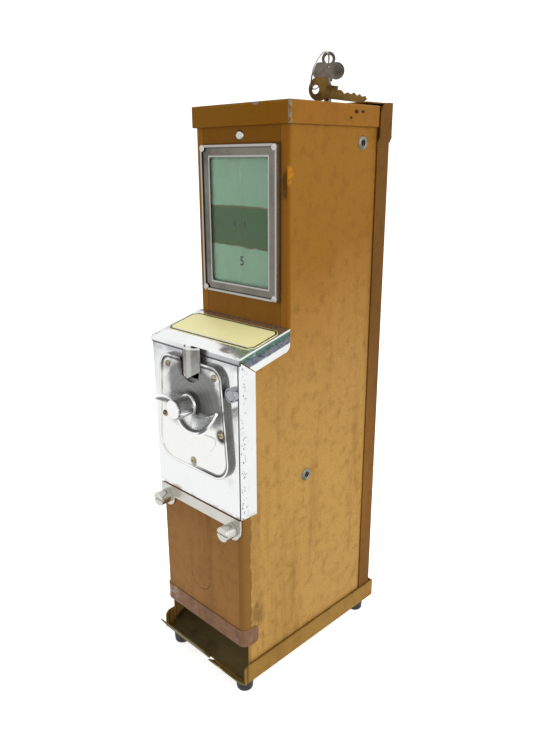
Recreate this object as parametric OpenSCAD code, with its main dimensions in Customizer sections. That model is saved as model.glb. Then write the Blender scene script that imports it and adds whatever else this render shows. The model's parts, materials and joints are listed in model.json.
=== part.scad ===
// Stamp vending machine with one folder column, a coin turning handle and a locked lift-off back.
// Places are given as x across, d back from the lower front face and z up from the base underside.

/* [Case] */
// Width of the case over its side walls
case_w = 114.3; // [104:0.1:137]
// Depth of the case from its lower front face to the rear edges of its sides
case_d = 187.5; // [184:0.5:225]
// Height of the lid top above the base underside
lid_z = 512.6; // [500:0.1:615]
// Setback of the upper front face behind the lower one
step_d = 57.5; // [50:0.5:62]
// Height of the front edge of the shelf
shelf_front_z = 316; // [312:1:320]
// Height of the rear edge of the shelf
shelf_rear_z = 330; // [324:1:340]
// Thickness of the sheet steel of the case, lid and base
sheet = 1.3; // [1:0.1:2]
// Radius of the bends at the lower front corners
corner_r = 6; // [4:0.5:9]
// Radius of the bends at the upper front corners
upper_corner_r = 2.5; // [2:0.5:4]
// Overhang of the lid skirt beyond the case
lid_over = 2.8; // [2.4:0.1:4]
// Depth of the lid skirt
skirt_h = 17.7; // [12:0.1:25]
// Height of the base tray rim
rim_h = 19; // [14:0.5:24]
// Height of the rubber feet
foot_h = 15; // [8:0.5:18]
// Diameter of the rubber feet
foot_dia = 16.5; // [12:0.5:18]

/* [Back door] */
// Thickness of the door sheet
door_t = 1.2; // [1:0.1:1.6]
// Depth of the door side flanges
door_flange = 18.5; // [14:0.5:24]
// Outward offset of the side flanges beside the lid
door_joggle = 2.5; // [2.2:0.1:4]
// Reach of the door top flange over the lid
top_flange = 34; // [30:1:40]
// Height of the gap between the lid and the door top flange
top_gap = 1.8; // [1:0.1:3]

/* [Delivery mouth] */
// Height of the delivery mouth
mouth_h = 38.5; // [32:0.5:45]
// Height of the band over the mouth
band_h = 17.5; // [12:0.5:24]
// Length of the band legs along the sides
band_leg = 17.5; // [12:0.5:24]
// Width of the thumb notch in the delivery lip
notch_w = 6; // [4:0.5:16]
// Place of the thumb notch across the lip
notch_x = 11; // [-10:1:20]

/* [Card window] */
// Width of the card frame
frame_w = 94; // [86:1:100]
// Height of the card frame
frame_h = 127.5; // [110:0.5:135]
// Height of the frame lower edge
frame_z = 353; // [345:1:356]
// Width of the visible card
window_w = 72; // [60:1:76]
// Height of the visible card
window_h = 107.5; // [90:0.5:110]

/* [Coin mechanism] */
// Height of the handle axis
axis_z = 265.7; // [258:0.1:272]
// Radius of the drive shaft
shaft_r = 4; // [3:0.5:5]
// Radius of the handle hub
hub_r = 8.5; // [7:0.5:10]
// Reach of the handle hub in front of the lower front face
hub_reach = 25.7; // [22:0.1:30]
// Reach of a handle wing from the axis
wing_reach = 44; // [38:1:46]
// Radius of the coin pocket
coin_pocket_r = 12; // [11:0.5:13]
// Radius of the coin wheel
coin_wheel_r = 38; // [34:1:40]
// Tooth count of the pinion
pinion_teeth = 18; // [16:1:20]
// Tooth module of the pinion and the rack
gear_module = 1.5; // [1.2:0.1:1.6]

/* [Folder column] */
// Width of a stamp folder
folder_w = 40; // [36:1:41]
// Length of a stamp folder
folder_l = 58; // [50:1:60]
// Height of the folder magazine
magazine_h = 180; // [140:5:200]

/* [Fits] */
// Running clearance of shafts in their bearings
running_fit = 0.05; // [0.02:0.01:0.1]
// Gap between sliding or lift-off pieces
slide_gap = 0.35; // [0.3:0.05:0.5]

/* [Hidden] */
$fn = 64;
eps = 0.01;

half_w = case_w / 2;
inner_w = case_w - 2 * sheet;
wrap_in = half_w + slide_gap;
door_out = wrap_in + door_t;
rim_in = door_out + slide_gap;
rim_out = rim_in + sheet;
door_in_d = case_d + slide_gap;
door_back_d = door_in_d + door_t;
rim_rear_gap = 2.85;
rim_rear_d = door_back_d + rim_rear_gap + sheet;
flange_d = door_back_d - door_flange;
door_top_z = lid_z + top_gap + door_t;
door_low_z = sheet + slide_gap;
door_seam_x = door_out - 4;
step_low = lid_z - 30.4;
step_high = lid_z - 25.4;
front = -(rim_rear_d - hub_reach) / 2;
case_top_z = lid_z - sheet;
shelf_slope = (shelf_rear_z - shelf_front_z) / step_d;
lower_seam_x = half_w - corner_r;
upper_seam_x = half_w - 9.85;
works_half = 44;
works_drop = 50;
works_rise = 44;

// front cover and face plate, in front of the lower front face
cover_t = 1.5;
cover_face = -cover_t - 0.3;
cover_low_z = 172.8;
hood_edge_h = 5;
hood_lift = 0.3;
hood_t = 1.4;
cover_high_z = shelf_front_z + hood_lift - hood_edge_h - 0.4;
cover_side_d = 16.2;
mitre_drop = 12.9;
mitre_gap = 0.8;
cover_out = half_w + 0.2 + cover_t;
plate_t = 3.4;
plate_face = cover_face - plate_t;
plate_rim = 1;
plate_top_r = 13;
plate_low_r = 19;
plate_top_half = 42;
plate_low_half = 48;
boss_r = 11;
boss_face = plate_face - 2;
coin_z = axis_z + 31.8;
screw_r = 1.6;
screw_fit = 0.1;

// folder path
mag_wall = 1;
mag_front_d = step_d + sheet + 1;
mag_x0 = -inner_w / 2 + 5.5;
mag_x1 = mag_x0 + folder_w + 1;
mag_in_d = mag_front_d + mag_wall;
mag_rear_d = mag_in_d + folder_l + 1.5;
pitch_r = gear_module * pinion_teeth / 2;
push_travel = pitch_r * PI;
rack_z = axis_z + pitch_r;
rack_bar_h = 5;
slide_top_z = rack_z + gear_module * 1.2 + rack_bar_h;
slide_t = 2;
shelf_z = slide_top_z + 1;
shelf_t = 1.3;
finger_rise = 1;
finger_w = 5;
finger_places = [mag_in_d + 12, mag_in_d + 40];
pinion_d0 = 44;
pinion_d1 = 53;
duct_x0 = mag_x1 + 2;
duct_x1 = duct_x0 + folder_w + 6;
duct_floor_z = 78;
chute_rear_d = mag_rear_d + mag_wall;
chute_rear_z = 62;

// lock on the door top flange
lock_d = case_d - 17.5;
lock_barrel_r = 7.5;
lock_plug_r = 5.5;
lock_low_z = door_top_z - 12;
collar_h = 2.5;
notch_r = 12;
cam_t = 1.6;
cam_reach = 17;
bow_turn = 40;
bow_hole_z = 42;
ring_r = 16.3;
ring_wire_r = 0.75;
ring_centre = [0.4, -11.95, 29.25];
ring_lean = 110.7;
ring_turn = 20.3;
flat_hole = [-3, -13.8, 13.6];
flat_turn = 13.8;
flat_tilt = 8.4;

// ---- helpers: outlines swept between two planes ----

// outline in x and d, between two heights
module flat_sweep(z0, z1) {
    translate([0, front, foot_h + z0]) linear_extrude(z1 - z0) children();
}

// outline in x and z, between two depths
module front_sweep(d0, d1) {
    translate([0, front + d1, foot_h]) rotate([90, 0, 0]) linear_extrude(d1 - d0) children();
}

// outline in d and z, between two places across
module side_sweep(x0, x1) {
    translate([x0, front, foot_h]) rotate([90, 0, 90]) linear_extrude(x1 - x0) children();
}

module block(x0, x1, d0, d1, z0, z1) {
    translate([x0, front + d0, foot_h + z0]) cube([x1 - x0, d1 - d0, z1 - z0]);
}

module rod_x(d, z, x0, x1, r) {
    translate([x0, front + d, foot_h + z]) rotate([0, 90, 0]) cylinder(r = r, h = x1 - x0);
}

module rod_y(x, z, d0, d1, r) {
    translate([x, front + d0, foot_h + z]) rotate([-90, 0, 0]) cylinder(r = r, h = d1 - d0);
}

module rod_z(x, d, z0, z1, r) {
    translate([x, front + d, foot_h + z0]) cylinder(r = r, h = z1 - z0);
}

// rectangle with exact round corners
module round_rect(x0, x1, y0, y1, r) {
    translate([x0 + r, y0]) square([x1 - x0 - 2 * r, y1 - y0]);
    translate([x0, y0 + r]) square([x1 - x0, y1 - y0 - 2 * r]);
    for (x = [x0 + r, x1 - r], y = [y0 + r, y1 - r]) translate([x, y]) circle(r);
}

// footprint in x and d with two bent front corners and square rear corners
module footprint(half, d0, d1, r) {
    translate([-half, d0 + r]) square([2 * half, d1 - d0 - r]);
    translate([-half + r, d0]) square([2 * half - 2 * r, r + eps]);
    for (side = [-1, 1]) translate([side * (half - r), d0 + r]) circle(r);
}

// domed slotted screw head whose flat side lies at depth d and whose dome faces the front
module dome_head_y(x, z, d, r, h) {
    ball_r = (r * r + h * h) / (2 * h);
    difference() {
        intersection() {
            translate([x, front + d - h + ball_r, foot_h + z]) sphere(ball_r);
            rod_y(x, z, d - h - eps, d, r);
        }
        block(x - r, x + r, d - h - 1, d - h * 0.5, z - r * 0.14, z + r * 0.14);
    }
}

// ---- case ----

// side profile of the stepped case, lowered and set in by a wall
module case_profile(wall) {
    polygon([[wall, 0],
             [case_d + 1, 0],
             [case_d + 1, case_top_z + 1],
             [step_d + wall, case_top_z + 1],
             [step_d + wall, shelf_rear_z + shelf_slope * wall - wall],
             [wall, shelf_front_z + shelf_slope * wall - wall]]);
}

// solid of the stepped case, set in by a wall on its front and sides
module case_body(wall, z0, z1, d1) {
    intersection() {
        side_sweep(-half_w, half_w) case_profile(wall);
        union() {
            flat_sweep(z0, z1)
                footprint(half_w - wall, step_d + wall, d1, upper_corner_r - wall);
            flat_sweep(z0, shelf_rear_z + 2) footprint(half_w - wall, wall, d1, corner_r - wall);
        }
    }
}

// whole folded case, which its walls, fronts, corners and shelf are cut from
module folded_case() {
    difference() {
        case_body(0, sheet, case_top_z, case_d);
        case_body(sheet, sheet - 1, case_top_z + 1, case_d + 1);
        // delivery mouth
        block(-half_w - 1, half_w + 1, -1, corner_r, 0, mouth_h);
    }
}

// everything under the shelf sheet and behind it
module below_shelf() {
    side_sweep(-half_w - 1, half_w + 1)
        polygon([[-1, 0],
                 [case_d + 1, 0],
                 [case_d + 1, lid_z],
                 [step_d, lid_z],
                 [step_d, shelf_rear_z - sheet],
                 [-1, shelf_front_z - shelf_slope - sheet]]);
}

// block beyond a place on the left or the right
module outer_block(side, inner_x, d0, d1, z0, z1) {
    block(side < 0 ? -half_w - 10 : inner_x, side < 0 ? -inner_x : half_w + 10, d0, d1, z0, z1);
}

// room of the bends at the lower and upper front corners of one side
module corner_room(side) {
    outer_block(side, lower_seam_x, -1, corner_r, 0, lid_z);
    outer_block(side, half_w - upper_corner_r, step_d, step_d + upper_corner_r,
                shelf_rear_z - sheet, lid_z);
}

// flat side wall behind the front corners
module case_side(side) {
    color([0.72, 0.51, 0.22]) difference() {
        intersection() {
            folded_case();
            below_shelf();
            outer_block(side, half_w - sheet, -1, case_d + 1, 0, lid_z);
        }
        corner_room(side);
        for (p = eyelet_places) rod_x(p[0], p[1], half_w - 3, half_w + 3, eyelet_neck_r);
    }
}

module case_left() {
    case_side(-1);
}

module case_right() {
    case_side(1);
}

// section in x and d of the sheet round both front corners at one depth
module corner_section(d0, r) {
    intersection() {
        difference() {
            footprint(half_w, d0, case_d, r);
            footprint(half_w - sheet, d0 + sheet, case_d + 1, r - sheet);
        }
        for (side = [-1, 1])
            translate([side < 0 ? -half_w - 1 : half_w - r, d0 - 1]) square([r + 1, r + 1]);
    }
}

// bent sheet at the four front corners
module corner_bends() {
    color([0.72, 0.51, 0.22]) difference() {
        union() {
            intersection() {
                flat_sweep(mouth_h, shelf_rear_z) corner_section(0, corner_r);
                below_shelf();
            }
            flat_sweep(shelf_rear_z - sheet, case_top_z) corner_section(step_d, upper_corner_r);
        }
        rod_y(button_x, button_z, -1, corner_r + 1, bushing_stem_r + 0.5);
    }
}

// front sheet between the lower corners, open behind the coin mechanism
module lower_front() {
    color([0.72, 0.51, 0.22]) difference() {
        intersection() {
            folded_case();
            below_shelf();
            block(-lower_seam_x, lower_seam_x, -1, sheet, 0, lid_z);
        }
        block(-works_half, works_half, -1, sheet + 1, axis_z - works_drop, axis_z + works_rise);
        for (side = [-1, 1])
            rod_y(side * strap_stud_x, strap_stud_z, -1, sheet + 1, strap_bolt_r + screw_fit);
        rod_y(button_x, button_z, -1, sheet + 1, bushing_stem_r + 0.5);
    }
}

// sloped sheet between the two fronts
module shelf_panel() {
    color([0.72, 0.51, 0.22]) difference() {
        intersection() {
            folded_case();
            block(-half_w - 1, half_w + 1, -1, step_d, 0, lid_z);
        }
        below_shelf();
    }
}

// front sheet between the upper seams, which carries the card window
module upper_front() {
    color([0.66, 0.45, 0.16]) difference() {
        intersection() {
            folded_case();
            block(-upper_seam_x, upper_seam_x, step_d, case_d, 0, lid_z);
        }
        for (side = [-1, 1], z = [frame_z + 2.8, frame_z + frame_h - 2.8])
            rod_y(side * (frame_w / 2 - 2.8), z, step_d - 1, step_d + sheet + 1,
                  screw_r + screw_fit);
        rod_y(0, front_screw_z, step_d - 1, step_d + sheet + 1, screw_r + screw_fit);
    }
}

// front edges of the side sheets, turned in beside the upper front
module upper_strips() {
    color([0.72, 0.51, 0.22]) intersection() {
        folded_case();
        for (side = [-1, 1])
            block(side < 0 ? -half_w + upper_corner_r : upper_seam_x,
                  side < 0 ? -upper_seam_x : half_w - upper_corner_r,
                  step_d, case_d, 0, lid_z);
    }
}

// folded tray under the case, open at the front where the lip stands
module base_tray() {
    cheek_d = -3.2;
    cheek_r = 6;
    color([0.70, 0.56, 0.28]) difference() {
        union() {
            block(-rim_out, rim_out, 0, rim_rear_d, 0, sheet);
            for (side = [-1, 1])
                side_sweep(side < 0 ? -rim_out : rim_in, side < 0 ? -rim_in : rim_out) {
                    translate([cheek_d, 0]) square([rim_rear_d - cheek_d, rim_h - cheek_r]);
                    translate([cheek_d + cheek_r, 0]) square([rim_rear_d - cheek_d - cheek_r, rim_h]);
                    translate([cheek_d + cheek_r, rim_h - cheek_r]) circle(cheek_r);
                }
            block(-rim_out, rim_out, rim_rear_d - sheet, rim_rear_d, 0, rim_h);
            // lip halves, the right one worn down flatter than the left
            delivery_lip(-rim_in - sheet / 2, notch_x - notch_w / 2, 59, 15);
            delivery_lip(notch_x + notch_w / 2, rim_in + sheet / 2, 40, 8);
        }
        for (p = foot_places) rod_z(p[0], p[1], -1, sheet + 1, screw_r + screw_fit);
    }
}

// one half of the lip: a strip that leaves the floor at a bend and rises forward
module delivery_lip(x0, x1, angle, length) {
    bend_d = -2.6;
    block(x0, x1, bend_d, 1, 0, sheet);
    translate([x0, front + bend_d, foot_h]) rotate([-angle, 0, 0]) translate([0, -length, 0])
        cube([x1 - x0, length, sheet]);
}

module front_band() {
    z0 = mouth_h;
    z1 = mouth_h + band_h;
    color([0.50, 0.36, 0.27]) intersection() {
        difference() {
            flat_sweep(z0, z1) footprint(half_w + 1.1, -1.1, band_leg, corner_r + 1.1);
            flat_sweep(z0 - 1, z1 + 1) footprint(half_w, 0, band_leg + 1, corner_r);
        }
        side_sweep(-half_w - 2, half_w + 2) {
            round_rect(-30, band_leg, z0, z1, 4);
            translate([-30, z0]) square([40, band_h]);
        }
    }
}

// pressed cap with a skirt at the front and sides, notched for the lock at the rear
module lid() {
    skirt_z = lid_z - skirt_h;
    out = half_w + lid_over;
    bend = 2.2;
    color([0.66, 0.47, 0.18]) difference() {
        union() {
            difference() {
                flat_sweep(skirt_z, lid_z)
                    footprint(out, step_d - lid_over, flange_d - slide_gap, bend);
                flat_sweep(skirt_z - 1, case_top_z)
                    footprint(out - sheet, step_d - lid_over + sheet, flange_d + 1, bend - sheet);
            }
            block(-half_w, half_w, flange_d - 2, case_d, case_top_z, lid_z);
        }
        rod_z(0, lock_d, case_top_z - 1, lid_z + 1, notch_r);
        block(-notch_r, notch_r, lock_d, case_d + 1, case_top_z - 1, lid_z + 1);
    }
}

// bracket under the lid that the lock cam turns under
module striker() {
    tongue_z = lock_low_z + 0.6;
    color("gray") {
        block(notch_r + 1.5, notch_r + 2.8, lock_d - 10, lock_d + 10, tongue_z, case_top_z);
        block(notch_r + 1.5, notch_r + 14, lock_d - 10, lock_d + 10, tongue_z, tongue_z + 1.3);
    }
}

// section in x and d of the door back plate with both side flanges, bent at the rear corners
module door_section(outer, d0) {
    bend = door_t + 0.8;
    difference() {
        mirror([0, 1]) footprint(outer, -door_back_d, -d0, bend);
        mirror([0, 1]) footprint(outer - door_t, -door_in_d, -d0 + 1, bend - door_t);
    }
}

// both sides of the lift-off back in one piece, which its flanges and ears are cut from
module door_sides() {
    ear_r = 11;
    wide = door_out + door_joggle;
    union() {
        intersection() {
            union() {
                flat_sweep(door_low_z, step_low + eps) door_section(door_out, flange_d);
                flat_sweep(step_high - eps, door_top_z) door_section(wide, flange_d);
                for (side = [0, 1]) mirror([side, 0, 0])
                    front_sweep(flange_d, door_back_d - door_t / 2)
                        polygon([[wrap_in, step_low], [door_out, step_low],
                                 [wide, step_high], [wide - door_t, step_high]]);
                block(-door_out, door_out, door_in_d, door_back_d, step_low, step_high);
            }
            side_sweep(-wide - 1, wide + 1) {
                translate([flange_d + ear_r, door_low_z])
                    square([door_flange - ear_r, door_top_z - door_low_z]);
                translate([flange_d, door_low_z])
                    square([door_flange, door_top_z - ear_r - door_low_z]);
                translate([flange_d + ear_r, door_top_z - ear_r]) circle(ear_r);
            }
        }
        block(-wrap_in, wrap_in, door_back_d - top_flange, door_back_d - door_t / 2,
              door_top_z - door_t, door_top_z);
        block(-wide + door_t / 2, wide - door_t / 2, flange_d + ear_r,
              door_back_d - door_t / 2, door_top_z - door_t, door_top_z);
    }
}

// back plate of the lift-off back
module rear_door() {
    color([0.60, 0.40, 0.17])
        block(-door_seam_x, door_seam_x, door_in_d, door_back_d, door_low_z, door_top_z - door_t);
}

// bent sides that wrap round the rear edges of the case
module door_flanges() {
    color([0.60, 0.40, 0.17]) intersection() {
        door_sides();
        for (side = [-1, 1])
            outer_block(side, door_seam_x, 0, door_back_d + 1, 0, step_low - 1);
    }
}

// upper ends of the sides, set out beside the lid
module door_ears() {
    color([0.60, 0.40, 0.17]) intersection() {
        door_sides();
        for (side = [-1, 1])
            outer_block(side, door_seam_x, 0, door_back_d + 1, step_low - 1, door_top_z + 1);
    }
}

// flange over the lid that carries the lock
module door_top() {
    color([0.60, 0.40, 0.17]) difference() {
        block(-door_seam_x, door_seam_x, door_back_d - top_flange, door_back_d,
              door_top_z - door_t, door_top_z);
        rod_z(0, lock_d, door_top_z - 3, door_top_z + 1, lock_barrel_r);
    }
}

// ---- card window ----

module window_frame() {
    z1 = frame_z + frame_h;
    low = frame_z + (frame_h - window_h) / 2;
    face = step_d - 3.4;
    color([0.52, 0.51, 0.50]) difference() {
        union() {
            front_sweep(face, step_d) round_rect(-frame_w / 2, frame_w / 2, frame_z, z1, 1.5);
            front_sweep(face - 1.2, face + eps) difference() {
                round_rect(-frame_w / 2, frame_w / 2, frame_z, z1, 1.5);
                round_rect(-frame_w / 2 + 2.2, frame_w / 2 - 2.2, frame_z + 2.2, z1 - 2.2, 1);
            }
        }
        front_sweep(face - 3, step_d + 1)
            round_rect(-window_w / 2, window_w / 2, low, low + window_h, 4.5);
        front_sweep(step_d - 2.4, step_d + 1)
            round_rect(-window_w / 2 - 3, window_w / 2 + 3, low - 3, low + window_h + 3, 1.5);
        for (side = [-1, 1], z = [frame_z + 2.8, z1 - 2.8])
            rod_y(side * (frame_w / 2 - 2.8), z, face - 3, step_d + 1, screw_r + screw_fit);
    }
}

module window_glass() {
    low = frame_z + (frame_h - window_h) / 2;
    color([0.80, 0.90, 0.88, 0.4]) front_sweep(step_d - 2.4, step_d - 0.6)
        round_rect(-window_w / 2 - 2.7, window_w / 2 + 2.7, low - 2.7, low + window_h + 2.7, 1.2);
}

module price_card() {
    low = frame_z + (frame_h - window_h) / 2;
    color([0.66, 0.78, 0.67]) front_sweep(step_d - 0.6, step_d)
        translate([-window_w / 2 - 2.5, low - 2.5]) square([window_w + 5, window_h + 5]);
}

module frame_screws() {
    color([0.75, 0.74, 0.72])
        for (side = [-1, 1], z = [frame_z + 2.8, frame_z + frame_h - 2.8]) {
            x = side * (frame_w / 2 - 2.8);
            dome_head_y(x, z, step_d - 4.6, 3, 1.8);
            rod_y(x, z, step_d - 4.6 - eps, step_d + sheet + 0.6, screw_r);
        }
}

front_screw_z = frame_z + frame_h + 7;

module front_screw() {
    color([0.80, 0.80, 0.80]) {
        dome_head_y(0, front_screw_z, step_d, 4.3, 2.8);
        rod_y(0, front_screw_z, step_d - eps, step_d + 6, screw_r);
    }
}

// ---- chromed front cover and shelf ----

// side outline of the cover, with its sides mitred against the shelf flanges
module cover_side_outline() {
    polygon([[cover_face, cover_low_z],
             [cover_side_d, cover_low_z],
             [cover_side_d, shelf_front_z - mitre_drop - mitre_gap],
             [cover_face + 2, shelf_front_z - 2 - mitre_gap],
             [cover_face + 2, cover_high_z],
             [cover_face, cover_high_z]]);
}

module front_cover() {
    bend = 2.5;
    color([0.83, 0.83, 0.82]) difference() {
        intersection() {
            difference() {
                flat_sweep(cover_low_z, shelf_front_z)
                    footprint(cover_out, cover_face, cover_side_d, bend);
                flat_sweep(cover_low_z - 1, shelf_front_z + 1)
                    footprint(cover_out - cover_t, cover_face + cover_t, cover_side_d + 1,
                              bend - cover_t);
            }
            side_sweep(-cover_out, cover_out) cover_side_outline();
        }
        // opening behind the face plate
        rod_y(0, axis_z, cover_face - 1, 1, coin_wheel_r + 2);
        block(-13, 13, cover_face - 1, 1, axis_z, coin_z + 1);
        rod_y(button_x, button_z, cover_face - 1, 1, bushing_stem_r);
        for (p = plate_screw_places)
            rod_y(p[0], p[1], cover_face - 1, 1, screw_r + screw_fit);
    }
}

// sloped shelf plate with a turned-down front edge and mitred side flanges
module hood() {
    t = hood_t;
    out = cover_out;
    front_d = cover_face;
    flange_h = 17.1;
    round = 7;
    top = shelf_front_z + hood_lift;
    slope = shelf_slope;
    low_d = cover_side_d;
    round_z = top + (step_d - round) * slope - flange_h + round;
    color([0.83, 0.84, 0.82]) {
        side_sweep(-out, out)
            polygon([[front_d, top - hood_edge_h],
                     [front_d + t, top - hood_edge_h],
                     [front_d + t, top + (front_d + t) * slope],
                     [step_d, top + step_d * slope],
                     [step_d, top + step_d * slope + t],
                     [front_d, top + front_d * slope + t]]);
        for (side = [-1, 1])
            side_sweep(side < 0 ? -out : out - t, side < 0 ? -out + t : out) {
                polygon([[front_d + t - eps, shelf_front_z - 1],
                         [low_d, shelf_front_z - mitre_drop],
                         [step_d - round, round_z - round],
                         [step_d, round_z],
                         [step_d, top + step_d * slope + t],
                         [front_d + t - eps, top + (front_d + t) * slope + t]]);
                translate([step_d - round, round_z]) circle(round);
            }
    }
}

// printed plate on the shelf with cut corners
module instruction_label() {
    half = half_w - 0.65;
    d0 = 13.4;
    d1 = 49.5;
    cut = 5;
    t = 0.4;
    color([0.95, 0.90, 0.62])
        translate([0, front, foot_h + shelf_front_z + hood_lift + hood_t + eps])
        multmatrix([[1, 0, 0, 0], [0, 1, 0, 0], [0, shelf_slope, 1, 0]])
        linear_extrude(t)
        polygon([[-half + cut, d0], [half - cut, d0], [half, d0 + cut], [half, d1 - cut],
                 [half - cut, d1], [-half + cut, d1], [-half, d1 - cut], [-half, d0 + cut]]);
}

// ---- face plate ----

// x of the tangent point on the right of a circle, for the straight side between two circles
function side_tangent(xa, za, ra, xb, zb, rb) =
    let (dx = xb - xa, dz = zb - za, len = sqrt(dx * dx + dz * dz))
    let (turn = atan2(dz, dx) - acos((ra - rb) / len))
    [[xa + ra * cos(turn), za + ra * sin(turn)], [xb + rb * cos(turn), zb + rb * sin(turn)]];

// outline of the face plate: narrow round shoulders over a wide round foot
module plate_outline(inset) {
    top_r = plate_top_r - inset;
    low_r = plate_low_r - inset;
    top_x = plate_top_half - plate_top_r;
    low_x = plate_low_half - plate_low_r;
    top_z = axis_z + 27.3;
    low_z = axis_z - 42.7;
    t = side_tangent(low_x, low_z, low_r, top_x, top_z, top_r);
    for (side = [-1, 1]) {
        translate([side * top_x, top_z]) circle(top_r);
        translate([side * low_x, low_z]) circle(low_r);
    }
    polygon([[-low_x, low_z - low_r], [low_x, low_z - low_r], t[0], t[1],
             [top_x, top_z + top_r], [-top_x, top_z + top_r],
             [-t[1][0], t[1][1]], [-t[0][0], t[0][1]]]);
}

plate_screw_places = [[-31.3, axis_z + 30.3], [31.3, axis_z + 30.3], [-38.6, axis_z - 18.7],
                      [38.6, axis_z - 18.7], [0, axis_z - 53.5]];

module face_plate() {
    rim_w = 2.2;
    color([0.53, 0.54, 0.50]) difference() {
        union() {
            front_sweep(plate_face, cover_face) plate_outline(0);
            front_sweep(plate_face - plate_rim, plate_face + eps) difference() {
                plate_outline(0);
                plate_outline(rim_w);
            }
            rod_y(0, axis_z, boss_face, cover_face, boss_r);
            rod_y(0, axis_z, cover_face - eps, 2, boss_r - 2);
            // pointer cast on the plate beside the handle
            front_sweep(plate_face - 0.9, plate_face + eps)
                polygon([[17, axis_z - 30], [23, axis_z - 39], [31, axis_z - 30],
                         [31, axis_z - 24], [17, axis_z - 24]]);
        }
        rod_y(0, axis_z, boss_face - 1, 3, shaft_r + running_fit);
        // coin pocket, open at the top of the plate
        rod_y(0, coin_z, plate_face - 2, plate_face + 2.2, coin_pocket_r);
        block(-coin_pocket_r, coin_pocket_r, plate_face - 2, plate_face + 2.2, coin_z,
              coin_z + 20);
        block(-coin_pocket_r, shroud_x + shroud_half + 1, plate_face - 2, plate_face, coin_z,
              coin_z + 20);
        // slot from the pocket to the coin wheel
        block(-coin_pocket_r + 0.8, coin_pocket_r - 0.8, plate_face, 1, coin_z - 8, coin_z - 3);
        for (p = plate_screw_places)
            rod_y(p[0], p[1], plate_face - 3, cover_face + 1, screw_r + screw_fit);
    }
}

module plate_screws() {
    color([0.72, 0.62, 0.45])
        for (p = plate_screw_places) {
            dome_head_y(p[0], p[1], plate_face, 3.2, 2.2);
            rod_y(p[0], p[1], plate_face - eps, 0, screw_r);
        }
}

// bowed guard that holds a coin against the plate, open below and at its left
shroud_x = 4;
shroud_half = 10.5;

module coin_shroud() {
    half = shroud_half;
    rise = 7.5;
    wall = 1.6;
    bow_r = (half * half + rise * rise) / (2 * rise);
    centre_x = shroud_x;
    low_z = coin_z - 6;
    high_z = shelf_front_z + 2.5;
    color([0.45, 0.46, 0.45]) intersection() {
        flat_sweep(low_z, high_z) intersection() {
            difference() {
                translate([centre_x, plate_face - rise + bow_r]) circle(bow_r);
                translate([centre_x, plate_face - rise + bow_r]) circle(bow_r - wall);
            }
            translate([centre_x - half, plate_face - rise]) square([2 * half, rise]);
        }
        front_sweep(plate_face - 20, plate_face)
            polygon([[centre_x - half - 1, low_z + 5], [centre_x + 1, low_z],
                     [centre_x + half + 1, low_z + 7], [centre_x + half + 1, high_z + 1],
                     [centre_x - half - 1, high_z + 1]]);
    }
}

button_x = half_w - 5.65;
button_z = axis_z + 20.3;
bushing_r = 6.3;
bushing_stem_r = 4.5;
button_r = 5;

module button_bushing() {
    color([0.5, 0.5, 0.52]) difference() {
        union() {
            rod_y(button_x, button_z, cover_face - 4.2, cover_face, bushing_r);
            rod_y(button_x, button_z, cover_face - eps, 3, bushing_stem_r);
        }
        rod_y(button_x, button_z, cover_face - 5, cover_face - 0.6, button_r + running_fit * 2);
        rod_y(button_x, button_z, cover_face - 1, 4, 2.5 + running_fit);
    }
}

module return_button() {
    head_d = cover_face - 4;
    dome = 3;
    ball_r = (button_r * button_r + dome * dome) / (2 * dome);
    color([0.45, 0.46, 0.50]) {
        intersection() {
            translate([button_x, front + head_d - dome + ball_r, foot_h + button_z])
                sphere(ball_r);
            rod_y(button_x, button_z, head_d - dome - eps, head_d, button_r);
        }
        rod_y(button_x, button_z, head_d - eps, 8, 2.5);
        rod_y(button_x, button_z, 5.2, 6.7, 3.6);
    }
}

// ---- strap ----

strap_stud_x = half_w - 11.15;
strap_stud_r = 6.8;
strap_ear_r = 9.8;
strap_stud_z = 159;
strap_bolt_r = 3;
strap_t = 1.8;

module clamp_strap() {
    top_z = cover_low_z - 2;
    color([0.70, 0.70, 0.68]) front_sweep(-strap_t, 0) difference() {
        union() {
            translate([-half_w + 1, strap_stud_z + 1]) square([case_w - 2, top_z - strap_stud_z - 1]);
            for (side = [-1, 1]) translate([side * strap_stud_x, strap_stud_z]) circle(strap_ear_r);
        }
        for (side = [-1, 1])
            translate([side * strap_stud_x, strap_stud_z]) circle(strap_bolt_r + screw_fit);
    }
}

module strap_studs() {
    color([0.82, 0.82, 0.80])
        for (side = [-1, 1]) difference() {
            union() {
                rod_y(side * strap_stud_x, strap_stud_z, -14, -strap_t, strap_stud_r);
                rod_y(side * strap_stud_x, strap_stud_z, -strap_t - eps, 9, strap_bolt_r);
            }
            block(side * strap_stud_x - 8, side * strap_stud_x + 8, -15, -12.6,
                  strap_stud_z - 0.9, strap_stud_z + 0.9);
        }
}

module strap_nuts() {
    color([0.6, 0.6, 0.6])
        for (side = [-1, 1]) translate([side * strap_stud_x, front + sheet, foot_h + strap_stud_z])
            rotate([-90, 0, 0]) difference() {
                cylinder(r = 5, h = 4.5, $fn = 6);
                translate([0, 0, -1]) cylinder(r = strap_bolt_r, h = 7);
            }
}

// ---- feet and side eyelets ----

foot_inset = 9.15;
foot_places = [for (side = [-1, 1], d = [8.2, door_in_d - 9.5]) [side * (half_w - foot_inset), d]];

module rubber_feet() {
    color([0.08, 0.08, 0.08])
        for (p = foot_places) difference() {
            translate([p[0], front + p[1], 0]) rotate_extrude()
                polygon([[0, 0], [foot_dia / 2 - 1.5, 0], [foot_dia / 2 - 0.5, 1],
                         [foot_dia / 2 + 0.6, foot_h], [0, foot_h]]);
            rod_z(p[0], p[1], -foot_h - 1, -foot_h + 5, 4);
            rod_z(p[0], p[1], -foot_h - 1, 1, screw_r + screw_fit);
        }
}

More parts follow.
